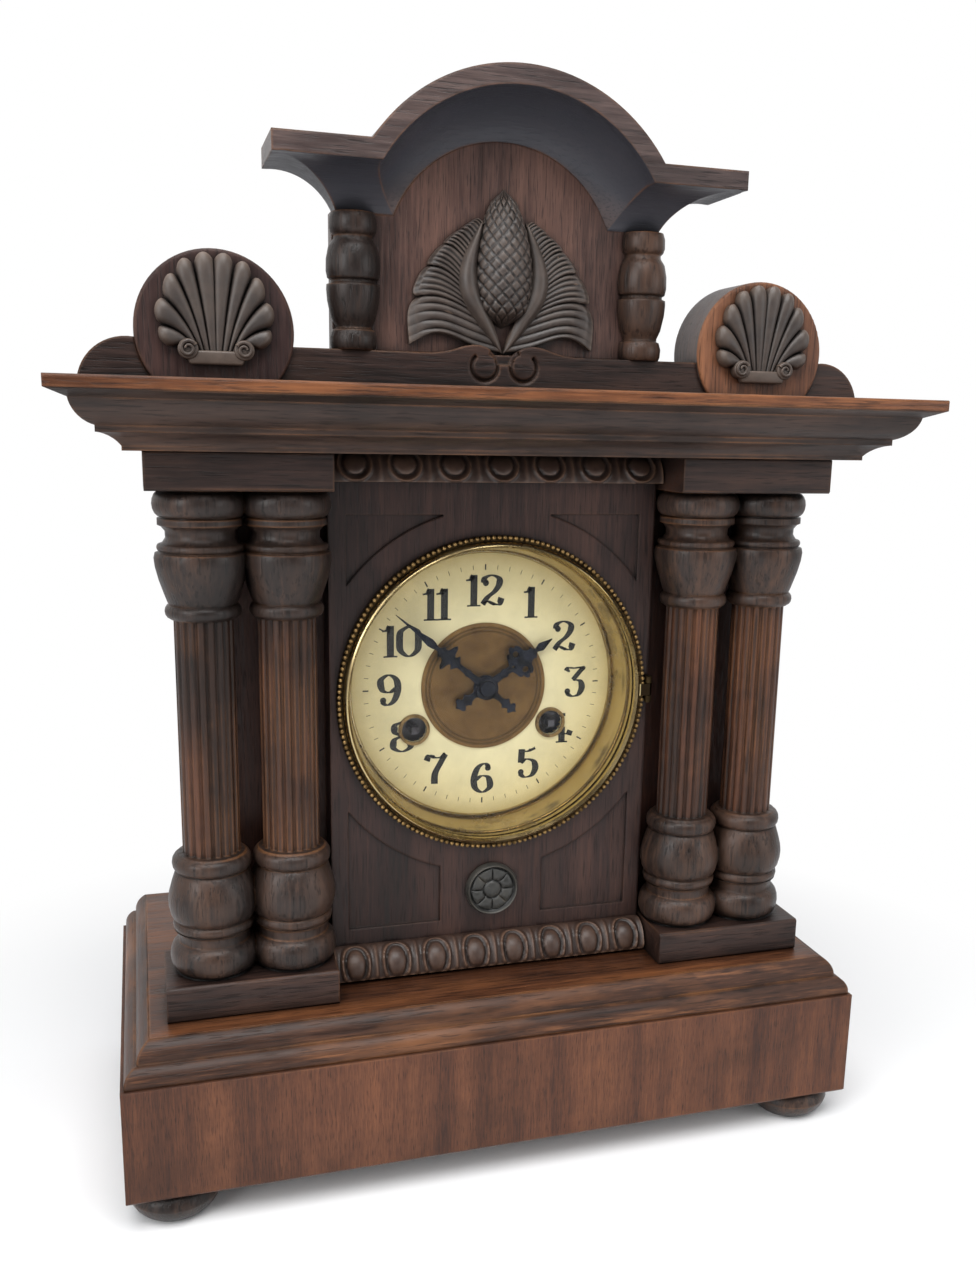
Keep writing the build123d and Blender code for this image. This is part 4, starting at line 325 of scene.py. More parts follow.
# The hood's cool grey tones are partly the stain and partly a painted cool reflection on the varnish; its
# last colour, on faces that look down, is painted shade.
hood_wood = stained_wood("hood_wood", "x", (0.026, 0.019, 0.018), (0.062, 0.043, 0.040),
                         (0.125, 0.085, 0.075), 0.6, 220.0, 0.34, 0.7, [], (0.046, 0.050, 0.062))
dark_panel = stained_wood("dark_panel", "z", (0.010, 0.006, 0.005), (0.025, 0.012, 0.010),
                          (0.056, 0.026, 0.019), 0.06)
dark_rail = stained_wood("dark_rail", "x", (0.012, 0.008, 0.007), (0.036, 0.019, 0.015),
                         (0.080, 0.040, 0.027), 0.35)
dark_turning = stained_wood("dark_turning", "z", (0.011, 0.008, 0.007), (0.027, 0.018, 0.015),
                            (0.080, 0.042, 0.027), 0.5, 150.0, 0.34, 0.9,
                            [([("Z", SHAFT_LOW, SHAFT_HIGH)], (1.35, 0.95, 0.72))])
roundel_wood = stained_wood("roundel_wood", "z", (0.017, 0.008, 0.008), (0.037, 0.018, 0.016),
                            (0.066, 0.032, 0.026), 0.5, 240.0, 0.42, 0.7,
                            [([("X", 0.0, 1.0), ("Y", -1.0, rim_back)], (4.2, 3.6, 2.1)),
                             ([("X", 0.0, 1.0), ("Y", rim_back, 1.0)], (2.2, 3.4, 3.6))])

# %% Wood on the case
def finish_node(name, material):
    made = nodes[name]
    made.data.materials.clear()
    made.data.materials.append(material)


def finish_all(finishes, kind):
    """Give the solids that a table names their materials."""
    for material, names in finishes.items():
        for name in names:
            finish_node(name, material)
    print(kind, "nodes finished:", sum(len(names) for names in finishes.values()))


WOODS = {
    upright_veneer: ("base_boards", "case_sides", "back_door"),
    pilaster_veneer: ("pilaster_boards",),
    arch_board: ("tympanum_board",),
    lying_board: ("base_deck", "cornice_board", "case_top_board"),
    run_moulding: ("base_moulding",),
    cornice_wood: ("cornice_moulding",),
    hood_wood: ("pediment_cornice",),
    dark_panel: ("front_panel", "back_frame"),
    dark_rail: ("column_blocks", "crest_rail", "crest_end_blocks"),
    dark_turning: ("columns", "bun_feet", "pediment_balusters"),
    roundel_wood: ("roundels",),
}
finish_all(WOODS, "wooden")

# %% [markdown]
# ## Metals, enamel and glass
# The brass is old: lacquer has gone, leaving golden patches among brown tarnish. The dial is ivory
# enamel paint, a little yellow towards its rim. The dial's middle is turned brass, with fine rings.
# The glass is clear.

# %% Metal recipe
DIAL = Vector((0, 0, (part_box("dial_plate")[0].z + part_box("dial_plate")[1].z) / 2))
DIAL_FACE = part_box("dial_plate")[0].y


def from_dial_middle(tree):
    """Distance of a point from the dial's axis, in metres."""
    place = object_place(tree)
    centred = node(tree, "ShaderNodeMapping", {0: place, 1: (0, 0, -DIAL.z), 3: (1, 0, 1)}).outputs[0]
    return node(tree, "ShaderNodeVectorMath", {0: centred}, operation="LENGTH").outputs["Value"], place


# Near-black brass colour: grime, and painted shade in the gap under the beading.
DIRT_AND_SHADE = (0.02, 0.013, 0.007)
BEZEL_EDGE = 0.0679


def old_metal(name, bright, tarnish, amount=0.5, rough=0.28, scale=60.0, dark_beyond=None):
    """dark_beyond: distance from the dial's axis past which the metal is near-black, grime and painted shade
    in the gap under the beading.
    """
    material, tree, shader = new_material(name)
    place = object_place(tree)
    cloud = noise(tree, place, scale, 7.0, Roughness=0.65)
    fine = noise(tree, place, scale * 14, 3.0)
    spots = ramp(tree, cloud, [(0.62 - amount * 0.35, grey(0.0)), (0.74 - amount * 0.2, grey(1.0))])
    colour = blend_colours(tree, spots, (*bright, 1), (*tarnish, 1))
    # Past dark_beyond, grime and painted shade turn the metal near-black.
    if dark_beyond:
        distance = from_dial_middle(tree)[0]
        beyond = maths(tree, "GREATER_THAN", distance, dark_beyond)
        colour = blend_colours(tree, beyond, colour, (*DIRT_AND_SHADE, 1))
    tree.links.new(colour, shader.inputs["Base Color"])
    dull = maths(tree, "ADD", maths(tree, "MULTIPLY", spots, 0.25), maths(tree, "MULTIPLY", fine, 0.12))
    tree.links.new(maths(tree, "ADD", dull, rough - 0.06), shader.inputs["Roughness"])
    roughen(tree, shader, fine, 0.12, 0.0002)
    shader.inputs["Metallic"].default_value = 1.0
    return material


# Past BEZEL_EDGE the bezel brass takes the painted shade of the gap under the beading.
bezel_brass = old_metal("bezel_brass", (0.47, 0.37, 0.19), (0.24, 0.18, 0.09), 0.3, 0.2, 25, BEZEL_EDGE)
bead_brass = old_metal("bead_brass", (0.34, 0.22, 0.09), (0.13, 0.08, 0.033), 0.5, 0.36, 240)
# Near-black brass behind the beads and on the hinge: grime and painted shade.
dirty_shaded_brass = old_metal("dirty_shaded_brass", (0.06, 0.04, 0.018), DIRT_AND_SHADE, 0.6, 0.5, 200)
wheel_brass = old_metal("wheel_brass", (0.68, 0.48, 0.18), (0.42, 0.27, 0.09), 0.3, 0.3, 80)
grey_steel = old_metal("grey_steel", (0.42, 0.42, 0.43), (0.22, 0.2, 0.18), 0.3, 0.34, 120)
gong_iron = old_metal("gong_iron", (0.12, 0.12, 0.13), (0.06, 0.05, 0.045), 0.4, 0.45, 120)
hand_steel = old_metal("hand_steel", (0.03, 0.035, 0.05), (0.012, 0.012, 0.014), 0.5, 0.42, 200)

# %% Metal on the dial and the movement
METALS = {
    bezel_brass: ("bezel_ring", "sight_ring"),
    dirty_shaded_brass: ("bezel_surround", "bezel_hinge"),
    bead_brass: ("winding_grommets", "frame_hinge_leaves", "door_hinge_leaves", "turn_button"),
    gong_iron: ("coil_gong", "time_winding_arbor", "strike_winding_arbor"),
    grey_steel: ("cannon_pinion", "anchor", "hammer"),
    hand_steel: ("hand_nut",),
    wheel_brass: ("movement_plates", "movement_pillars", "time_barrel", "strike_barrel", "intermediate_wheel",
                  "centre_wheel", "third_wheel", "escape_wheel", "minute_wheel", "hour_wheel", "pin_wheel",
                  "locking_wheel", "strike_fly", "back_cock", "pendulum", "rating_nut"),
}
finish_all(METALS, "metal")

# %% Enamel, turned brass and glass
enamel, tree, shader = new_material("ivory_enamel")
distance, place = from_dial_middle(tree)
ivory = [(0.5, (0.96, 0.86, 0.50)), (0.82, (0.92, 0.79, 0.41)), (0.94, (0.66, 0.52, 0.22))]
tint = ramp(tree, maths(tree, "MULTIPLY", distance, 15.0), ivory)
mottle = noise(tree, place, 70.0, 6.0, Roughness=0.7)
soil = ramp(tree, mottle, [(0.3, grey(0.86)), (0.6, grey(1.0))])
tree.links.new(blend_colours(tree, 1.0, tint, soil, "MULTIPLY"), shader.inputs["Base Color"])
tree.links.new(ramp(tree, mottle, [(0.3, grey(0.3)), (0.7, grey(0.42))]), shader.inputs["Roughness"])
finish_node("dial_plate", enamel)

turned_brass, tree, shader = new_material("turned_brass")
distance, place = from_dial_middle(tree)
rings = maths(tree, "SINE", maths(tree, "MULTIPLY", distance, 9000.0))
mottle = noise(tree, place, 110.0, 6.0, Roughness=0.7)
tint = ramp(tree, mottle, [(0.3, (0.13, 0.07, 0.022)), (0.7, (0.26, 0.15, 0.05))])
scribed = [(0.74, grey(1.0)), (0.765, grey(0.45)), (0.79, grey(1.0)), (0.815, grey(0.5)),
           (0.84, grey(1.25))]
border = ramp(tree, maths(tree, "MULTIPLY", distance, 30.0), scribed)
tree.links.new(blend_colours(tree, 1.0, tint, border, "MULTIPLY"), shader.inputs["Base Color"])
roughen(tree, shader, rings, 0.1, 0.0001)
shader.inputs["Metallic"].default_value = 0.75
shader.inputs["Roughness"].default_value = 0.42
finish_node("dial_centre", turned_brass)

glass, tree, shader = new_material("clear_glass")
smear = noise(tree, object_place(tree), 25.0, 4.0)
tree.links.new(ramp(tree, smear, [(0.35, grey(0.02)), (0.7, grey(0.07))]), shader.inputs["Roughness"])
shader.inputs["Base Color"].default_value = (0.02, 0.02, 0.02, 1)
shader.inputs["Alpha"].default_value = 0.1
shader.inputs["Specular IOR Level"].default_value = 0.8
finish_node("bezel_glass", glass)
print("dial face lies at y =", round(DIAL_FACE, 4), "and is centred at z =", round(DIAL.z, 4))

# %% [markdown]
# ## Modelling helpers
# Every new piece but the hands starts from one of Blender's primitives. It is shaped in edit mode
# or by moving its points with a formula, its place is then put into its mesh, and it is told which
# body it rides on and which solid it replaces, if there is one.

# %% Piece helpers
def start():
    if bpy.context.object and bpy.context.object.mode != "OBJECT":
        bpy.ops.object.mode_set(mode="OBJECT")
    bpy.ops.object.select_all(action="DESELECT")


def pick(made):
    start()
    made.select_set(True)
    bpy.context.view_layer.objects.active = made
    return made


def settle(made):
    """Put the object's place, turn and size into its mesh."""
    pick(made)
    bpy.ops.object.transform_apply(location=True, rotation=True, scale=True)
    return made


def reshape(made, formula):
    """Move each point of a mesh by a formula of its place."""
    for vertex in made.data.vertices:
        vertex.co = formula(vertex.co.copy())
    made.data.update()
    return made


def join(pieces, name):
    start()
    for piece in pieces:
        piece.select_set(True)
    bpy.context.view_layer.objects.active = pieces[0]
    if len(pieces) > 1:
        bpy.ops.object.join()
    made = bpy.context.object
    made.name = name
    made.data.name = name
    return settle(made)


def copy_of(made):
    pick(made)
    bpy.ops.object.duplicate()
    return bpy.context.object


def modify(made, kind, **settings):
    pick(made)
    modifier = made.modifiers.new(kind.lower(), kind)
    for key, value in settings.items():
        setattr(modifier, key, value)
    bpy.ops.object.modifier_apply(modifier=modifier.name)
    return made


def tidy_faces(made, angle=40):
    """Merge doubled points, turn faces outwards and smooth the gentle angles."""
    pick(made)
    bpy.ops.object.mode_set(mode="EDIT")
    bpy.ops.mesh.select_all(action="SELECT")
    bpy.ops.mesh.remove_doubles(threshold=0.00001)
    bpy.ops.mesh.normals_make_consistent(inside=False)
    bpy.ops.object.mode_set(mode="OBJECT")
    bpy.ops.object.shade_smooth_by_angle(angle=math.radians(angle))
    return made


def dress(made, material, body, slot, *replaced):
    made.data.materials.clear()
    made.data.materials.append(material)
    if replaced:
        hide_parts(*replaced)
    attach(made, body)
    print(made.name, len(made.data.polygons), "faces")
    return made


# %% [markdown]
# ## Carving finish
# The carvings are stained like the case but stay dull, with painted shade in their hollows and
# dust on their crowns. On a mesh with shared points, pointiness tells the crowns from the hollows.

# %% Carving recipe
CARVING_CORNER = 0.004


def carved_finish(name, hollow, face, crown):
    material, tree, shader = new_material(name)
    place = object_place(tree)
    cloud = noise(tree, place, 90.0, 6.0, Roughness=0.65)
    fine = noise(tree, place, 700.0, 4.0)
    point = node(tree, "ShaderNodeNewGeometry").outputs["Pointiness"]
    drift = maths(tree, "MULTIPLY", maths(tree, "SUBTRACT", cloud, 0.5), 0.12)
    shade = maths(tree, "ADD", point, drift)
    # Hollows take a near-black painted shade; crowns are lighter with dust.
    colour = ramp(tree, shade, [(0.42, hollow), (0.5, face), (0.6, crown)])
    # Ambient occlusion paints shade into the narrow corners.
    tree.links.new(grimed(tree, colour, CARVING_CORNER), shader.inputs["Base Color"])
    tree.links.new(ramp(tree, cloud, [(0.3, grey(0.36)), (0.7, grey(0.56))]), shader.inputs["Roughness"])
    roughen(tree, shader, fine, 0.2, 0.0003)
    return material


# The first colour of each carving is the painted shade of its hollows.
grey_carving = carved_finish("grey_carving", (0.006, 0.005, 0.004), (0.040, 0.031, 0.027),
                             (0.130, 0.092, 0.070))
brown_carving = carved_finish("brown_carving", (0.006, 0.004, 0.003), (0.038, 0.020, 0.014),
                              (0.140, 0.075, 0.045))
black_carving = carved_finish("black_carving", (0.008, 0.008, 0.008), (0.022, 0.022, 0.02),
                              (0.07, 0.062, 0.05))

# %% [markdown]
# ## Relief helper
# A low carving starts as a flat grid that is pushed into shape, like a sheet of clay on a board.
# Its open rim is then pulled straight back to the board and closed.

# %% Relief helper
def relief(columns, rows, formula, back, name):
    """A grid bent by formula(u, v) -> place, with u and v from 0 to 1, closed at y = back."""
    start()
    bpy.ops.mesh.primitive_grid_add(x_subdivisions=columns, y_subdivisions=rows, size=1)
    made = reshape(bpy.context.object, lambda p: Vector(formula(p.x + 0.5, p.y + 0.5)))
    pick(made)
    bpy.ops.object.mode_set(mode="EDIT")
    bpy.ops.mesh.select_mode(type="EDGE")
    bpy.ops.mesh.select_all(action="SELECT")
    bpy.ops.mesh.remove_doubles(threshold=0.00001)
    bpy.ops.mesh.select_all(action="DESELECT")
    bpy.ops.mesh.select_non_manifold()
    bpy.ops.mesh.extrude_region_move()
    bpy.ops.transform.resize(value=(1, 0, 1), center_override=(0, back, 0))
    bpy.ops.mesh.edge_face_add()
    bpy.ops.object.mode_set(mode="OBJECT")
    made.name = name
    return tidy_faces(made)


def through(points, t):
    """A smooth path through points (any length), at t from 0 to 1."""
    span = t * (len(points) - 1)
    i = min(int(span), len(points) - 2)
    f = span - i
    near = [points[min(max(k, 0), len(points) - 1)] for k in (i - 1, i, i + 1, i + 2)]
    return tuple(0.5 * (2 * b + (c - a) * f + (2 * a - 5 * b + 4 * c - d) * f * f
                        + (3 * b - a - 3 * c + d) * f ** 3) for a, b, c, d in zip(*near))


def mirrored(made, name):
    """A copy reflected across the clock's middle plane."""
    twin = copy_of(made)
    reshape(twin, lambda p: Vector((-p.x, p.y, p.z)))
    pick(twin)
    bpy.ops.object.mode_set(mode="EDIT")
    bpy.ops.mesh.select_all(action="SELECT")
    bpy.ops.mesh.flip_normals()
    bpy.ops.object.mode_set(mode="OBJECT")
    twin.name = name
    twin.data.name = name
    return twin


# %% [markdown]
# ## The scallop shells
# Each shell is a fan of ten rounded lobes over a small scroll with curled ends. The fan is one
# relief: every lobe runs along a curve from a root by a bend to a tip, swells like a finger and
# ends round. The lowest lobes are the shortest.

# %% Shell
LOBES = 10
SHELL_TALL, SHELL_OUTWARD = 0.0359, 0.0136
CURL_X, CURL_Z = 0.0104, 0.0008
PLATE_RADIUS, PLATE_DEPTH = 0.0038, 0.0048
BRIDGE_TOP, BRIDGE_FOOT, BRIDGE_DEPTH, BRIDGE_TALL, BRIDGE_Z = 0.0236, 0.0196, 0.0042, 0.0052, -0.0022
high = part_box("shell_carvings")[1]
roundel_face = high.y
SHELL_X = (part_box("roundels")[1].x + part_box("pediment_balusters")[1].x + SHELL_OUTWARD) / 2
SHELL_Z = high.z - SHELL_TALL
RIB_ROOT = [(-1.1, -1.0), (1.1, -1.0), (3.2, -1.0), (5.0, -0.6), (6.4, 0.0), (7.2, 0.6), (7.6, 0.4)]
RIB_BEND = [(-2.2, 18.0), (2.2, 18.0), (6.5, 17.5), (9.5, 15.5), (12.0, 11.5), (13.0, 6.5), (11.0, 2.0)]
RIB_TIP = [(-4.1, 35.9), (4.1, 35.9), (11.9, 32.9), (17.8, 26.0), (22.0, 15.0), (20.6, 4.6), (15.0, -2.0)]


def shell_fan(u, v):
    side = -1 if u < 0.5 else 1
    count = abs(u - 0.5) * LOBES
    across = ((count % 1.0 if count < LOBES / 2 else 1.0) - 0.5) * 2
    finger = math.sqrt(max(0.0, 1 - across * across))
    along = (count + 0.5) / (len(RIB_TIP) - 1)
    root, bend, tip = (through(points, along) for points in (RIB_ROOT, RIB_BEND, RIB_TIP))
    t = v * (0.84 + 0.16 * finger)
    x, z = ((1 - t) ** 2 * a + 2 * t * (1 - t) * b + t * t * c for a, b, c in zip(root, bend, tip))
    end = max(0.0, v - 0.8) / 0.2
    rise = 1.2 + (1.2 + 3.2 * v) * (0.15 + 0.85 * finger ** 0.9) * math.sqrt(max(0.0, 1 - 0.8 * end * end))
    return side * x * MM, roundel_face - rise * MM, z * MM


def shell_scroll(side):
    def curl(u, v):
        turn = math.radians(150) - u * math.radians(500)
        radius = 0.0031 - 0.0021 * u
        across = (v - 0.5) * 2
        place = radius + across * (0.0008 - 0.0002 * u)
        y = roundel_face - 0.0050 - 0.0007 * (1 - across ** 4)
        return side * (CURL_X + place * math.cos(turn)), y, CURL_Z + place * math.sin(turn)
    return relief(60, 6, curl, roundel_face, "curl")


def shell_plate(side):
    start()
    bpy.ops.mesh.primitive_cylinder_add(
        vertices=32, radius=PLATE_RADIUS, depth=PLATE_DEPTH, rotation=(math.pi / 2, 0, 0),
        location=(side * CURL_X, roundel_face - PLATE_DEPTH / 2, CURL_Z))
    return modify(settle(bpy.context.object), "BEVEL", width=0.0006, segments=2)


def bridge(p):
    wide = BRIDGE_TOP if p.z > 0 else BRIDGE_FOOT
    return Vector((p.x * wide, roundel_face + (p.y - 0.5) * BRIDGE_DEPTH, BRIDGE_Z + p.z * BRIDGE_TALL))


def scallop(x, name):
    pieces = [relief(LOBES * 12, 26, shell_fan, roundel_face, "fan")]
    for side in (-1, 1):
        pieces.append(shell_scroll(side))
        pieces.append(shell_plate(side))
    start()
    bpy.ops.mesh.primitive_cube_add(size=1)
    pieces.append(modify(reshape(bpy.context.object, bridge), "BEVEL", width=0.0009, segments=3))
    made = join(pieces, name)
    made.location = (x, 0, SHELL_Z)
    return tidy_faces(settle(made), 50)


for x, name in ((-SHELL_X, "shell_left"), (SHELL_X, "shell_right")):
    dress(scallop(x, name), grey_carving, "case", "carved_wood", "shell_carvings")

# %% [markdown]
# ## The pineapple
# A half-round cone covered with raised diamonds stands between two smooth leaves, and behind them
# spread two fans like feathers. The diamonds are two families of slanting grooves pressed into a
# ball that was pulled to a spindle.

# %% Cone
board_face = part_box("tympanum_board")[0].y
CONE_FOOT, CONE_TIP, CONE_RADIUS = 0.3622, 0.4170, 0.0116
CONE_GIRTH = [(0.0,), (0.38,), (0.60,), (0.76,), (0.88,), (0.96,), (1.0,), (0.99,), (0.92,), (0.72,), (0.0,)]
AROUND, ALONG = 13, 10


def pineapple(p):
    down = (1 - p.z) / 2
    turn = math.atan2(p.x, -p.y) / (2 * math.pi)
    lines = [abs(((turn * AROUND + s * down * ALONG) % 1) - 0.5) * 2 for s in (1, -1)]
    scale = (1 - max(lines) ** 9) * (0.7 + 0.3 * (1 - lines[0] ** 2) * (1 - lines[1] ** 2))
    girth = through(CONE_GIRTH, down)[0]
    radius = CONE_RADIUS * girth + 0.0011 * scale * min(1, 3 * girth)
    flat = math.hypot(p.x, p.y) or 1
    z = CONE_TIP - (CONE_TIP - CONE_FOOT) * down
    return Vector((radius * p.x / flat, radius * p.y / flat * 0.92, z))


start()
bpy.ops.mesh.primitive_uv_sphere_add(segments=160, ring_count=150, radius=1)
cone = reshape(bpy.context.object, pineapple)
pick(cone)
bpy.ops.object.mode_set(mode="EDIT")
bpy.ops.mesh.select_all(action="SELECT")
bpy.ops.mesh.bisect(plane_co=(0, 0, 0), plane_no=(0, 1, 0), clear_outer=True, use_fill=True)
bpy.ops.object.mode_set(mode="OBJECT")
cone.location.y = board_face
cone.name = "pineapple_cone"
tidy_faces(settle(cone), 60)
dress(cone, grey_carving, "case", "carved_wood", "pineapple_carving")

# %% Leaves beside the cone
LEAF_LINE = [(0.0006, 0.3525), (0.0080, 0.3645), (0.0146, 0.3765), (0.0148, 0.3885), (0.0094, 0.4040)]


def leaf(u, v):
    x, z = through(LEAF_LINE, u)
    x2, z2 = through(LEAF_LINE, min(u + 0.01, 1))
    x1, z1 = through(LEAF_LINE, max(u - 0.01, 0))
    dx, dz = x2 - x1, z2 - z1
    size = math.hypot(dx, dz)
    side = (v - 0.5) * 2
    half = 0.0040 * math.sin(math.pi * min(max(u, 0.02), 0.985)) ** 0.8
    rise = 0.0062 * (1 - 0.55 * side * side) * (0.35 + 0.65 * math.sin(math.pi * u) ** 0.6)
    rise += 0.0012 * (side < 0) * side * side
    return x + side * half * dz / size, board_face - rise, z - side * half * dx / size


leaf_right = relief(36, 10, leaf, board_face, "pineapple_leaf_right")
leaf_left = mirrored(leaf_right, "pineapple_leaf_left")

# %% Feathered fans
FEATHERS = [0.0, 0.30, 0.53, 0.72, 0.87, 1.0]
RIBS = 5
FAN_START = [(0.0010, 0.3530), (0.0090, 0.3635), (0.0155, 0.3730), (0.0178, 0.3825), (0.0155, 0.3935),
             (0.0090, 0.4030)]
FAN_END = [(0.0392, 0.3550), (0.0398, 0.3668), (0.0368, 0.3785), (0.0305, 0.3890), (0.0225, 0.3975),
           (0.0120, 0.4048)]
FAN_LIFT = [(0.0040,), (0.0036,), (0.0026,), (0.0018,), (0.0010,), (0.0004,)]


def fan(u, v):
    feather = max(k for k in range(len(FEATHERS) - 1) if v >= FEATHERS[k])
    local = (v - FEATHERS[feather]) / (FEATHERS[feather + 1] - FEATHERS[feather])
    x0, z0 = through(FAN_START, v)
    x1, z1 = through(FAN_END, v)
    ridge = abs(math.sin(math.pi * RIBS * local)) ** 0.8
    rounding = 1 - math.sqrt(max(0.0, 1 - (2 * local - 1) ** 4))
    reach = u * (1.0 - 0.16 * rounding * (feather > 0 or local > 0.5))
    lift = through(FAN_LIFT, v)[0]
    x = x0 + (x1 - x0) * reach
    z = z0 + (z1 - z0) * reach + lift * math.sin(math.pi * reach)
    z -= 0.0020 * (1 - v) ** 6 * math.sin(2 * math.pi * reach)
    fade = 1 - min(1, max(0, u - 0.7) / 0.2) * 0.8
    overlap = 0.0011 * (1 - local) * u
    rise = 0.0026 + overlap + 0.0011 * ridge * fade * (0.5 + 0.5 * u) - 0.0016 * max(0, u - 0.9) / 0.1
    return x, board_face - rise, z


fan_right = relief(30, 200, fan, board_face, "pineapple_fan_right")
fan_left = mirrored(fan_right, "pineapple_fan_left")
for made in (leaf_right, leaf_left, fan_right, fan_left):
    dress(made, grey_carving, "case", "carved_wood", "pineapple_carving")

# %% [markdown]
# ## The rail and its volutes
# The rail between the roundels swells to two humps under the pineapple. Each hump rolls over into a
# disc, cut free by a groove shaped like a C. The rail is one relief: its top edge follows a path,
# and the groove is pressed into it.

# %% Rail
low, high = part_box("crest_rail")
rail_front = low.y + 0.002
rail_back = high.y - 0.0002
RAIL_TOP = low.z + 0.0142
CREST = [(0.0, 0.0), (2.6, 0.0), (3.8, 0.0), (5.2, 1.4), (8.0, 2.9), (11.0, 3.7), (13.5, 3.7), (17.0, 3.1),
         (21.0, 1.8), (25.0, 0.7), (30.0, 0.05)]
DISC_X, DISC_Z, DISC_RADIUS = 0.0084, RAIL_TOP - 0.0049, 0.0050
roundel_low, roundel_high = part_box("roundels")
ROUNDEL = (roundel_high.z - roundel_low.z) / 2
ROUNDEL_X = roundel_high.x - ROUNDEL
ROUNDEL_GAP = ROUNDEL + 0.0003


def rail_top(x):
    x = abs(x) / MM
    for (xa, za), (xb, zb) in zip(CREST, CREST[1:]):
        if x <= xb:
            t = (x - xa) / (xb - xa)
            return RAIL_TOP + (za + (zb - za) * t) * MM
    return RAIL_TOP


def rail_end(z):
    return ROUNDEL_X - math.sqrt(ROUNDEL_GAP ** 2 - (z - roundel_low.z - ROUNDEL) ** 2)


def carved_rail(u, v):
    s = 2 * u - 1
    spread = math.copysign(abs(s) ** 1.8, s)
    z = low.z + v * (rail_top(spread * rail_end(RAIL_TOP)) - low.z)
    x = spread * rail_end(min(z, RAIL_TOP))
    away = math.hypot(abs(x) - DISC_X, z - DISC_Z)
    turn = math.degrees(math.atan2(z - DISC_Z, abs(x) - DISC_X))
    cut = 0.0
    if not 48 < turn < 150:
        cut = 0.0016 * math.exp(-((away - DISC_RADIUS - 0.0006) / 0.0006) ** 2)
    if abs(x) < DISC_X and z > DISC_Z + 0.001 and away > DISC_RADIUS + 0.0004 and turn > 110:
        cut = max(cut, 0.0022 * min(1, (away - DISC_RADIUS) / 0.0012))
    dome = 0.0003 * max(0.0, 1 - (away / DISC_RADIUS) ** 2)
    return x, rail_front + cut - dome, z


crest_rail = relief(480, 60, carved_rail, rail_back, "carved_crest_rail")
dress(crest_rail, dark_rail, "case", "dark_wood", "crest_rail")

# %% [markdown]
# ## Balusters of the pediment
# Two half-round turnings stand under the ends of the hood: a disc, a flattened ball, a vase with a
# sharp shoulder and a foot. The relief helper bends a grid round each one, with a lathe profile for
# its radius.

# %% Balusters
low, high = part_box("pediment_balusters")
BALUSTER_X = high.x - (high.y - low.y)
BALUSTER_PROFILE = [(0.0, 0.0), (0.80, 0.0), (0.86, 0.03), (0.88, 0.09), (0.80, 0.145), (0.68, 0.155),
                    (0.70, 0.175), (0.84, 0.24), (0.96, 0.36), (0.99, 0.44), (0.98, 0.475), (0.86, 0.485),
                    (0.84, 0.505), (0.95, 0.52), (1.0, 0.57), (0.99, 0.66), (0.90, 0.75), (0.74, 0.80),
                    (0.72, 0.825), (0.82, 0.845), (0.88, 0.88), (0.87, 0.95), (0.80, 0.995), (0.0, 1.0)]


def on_profile(points, t):
    """A place on straight runs between points, at t from 0 to 1."""
    span = t * (len(points) - 1)
    i = min(int(span), len(points) - 2)
    f = span - i
    return tuple(a + (b - a) * f for a, b in zip(points[i], points[i + 1]))


def baluster(u, v):
    share, rise = on_profile(BALUSTER_PROFILE, v)
    radius = share * (high.y - low.y)
    turn = math.pi * u
    x = BALUSTER_X + radius * math.cos(turn)
    return x, high.y - radius * math.sin(turn), low.z + rise * (high.z - low.z)


baluster_right = relief(40, (len(BALUSTER_PROFILE) - 1) * 2, baluster, high.y, "baluster_right")
baluster_left = mirrored(baluster_right, "baluster_left")
for made in (baluster_right, baluster_left):
    dress(made, dark_turning, "case", "turned_wood", "pediment_balusters")

# %% [markdown]
# ## The columns
# Each column was turned on a lathe and its shaft fluted. A grid is rolled into a tube; its radius
# follows the lathe profile, and on the shaft eighteen narrow flutes are cut into it.

# %% Column profile
def swell(foot, head, edge, crown, steps=8):
    """Profile points of a half-round moulding from foot to head, bulging from edge to crown in radius."""
    turns = [math.pi * k / steps for k in range(steps + 1)]
    return [(edge + (crown - edge) * math.sin(a), foot + (head - foot) * (1 - math.cos(a)) / 2)
            for a in turns]


SHAFT_RADIUS, FLUTES, FLUTE_DEPTH = 10.5, 18, 1.0
SHAFT_FOOT, SHAFT_HEAD, SHAFT_STEPS = 52.0, 149.6, 16
shaft = [(SHAFT_RADIUS, SHAFT_FOOT + k * (SHAFT_HEAD - SHAFT_FOOT) / SHAFT_STEPS)
         for k in range(SHAFT_STEPS + 1)]
COLUMN_PROFILE = [
    (0.0, 0.0), (14.6, 0.0), *swell(0.2, 13.2, 13.4, 16.4),
    (13.2, 13.4), (13.2, 15.0), (13.6, 17.6), (14.6, 18.4), *swell(18.6, 22.6, 13.8, 15.0, 6),
    (14.6, 23.0), (15.6, 25.0), (16.3, 28.5), (16.45, 31.5), (16.1, 34.5), (15.0, 39.0), (13.7, 43.4),
    (13.1, 44.0), *swell(44.2, 51.0, 12.8, 14.6, 6), (12.6, 51.6), (10.4, SHAFT_FOOT), *shaft,
    (11.6, 149.8), *swell(150.2, 155.6, 11.8, 13.4, 6),
    (12.2, 156.2), (12.5, 157.0), (13.6, 160.6), (15.0, 165.4), (16.1, 170.6), (16.4, 174.0), (16.0, 176.0),
    (14.6, 176.6), *swell(176.8, 179.6, 14.4, 15.3, 6),
    (13.4, 180.0), (12.2, 182.0), (12.3, 184.6), (13.6, 186.4), (14.8, 187.0), (14.8, 189.6),
    *swell(190.0, 200.4, 13.4, 16.4), (14.4, 201.0), (0.0, 201.0),
]

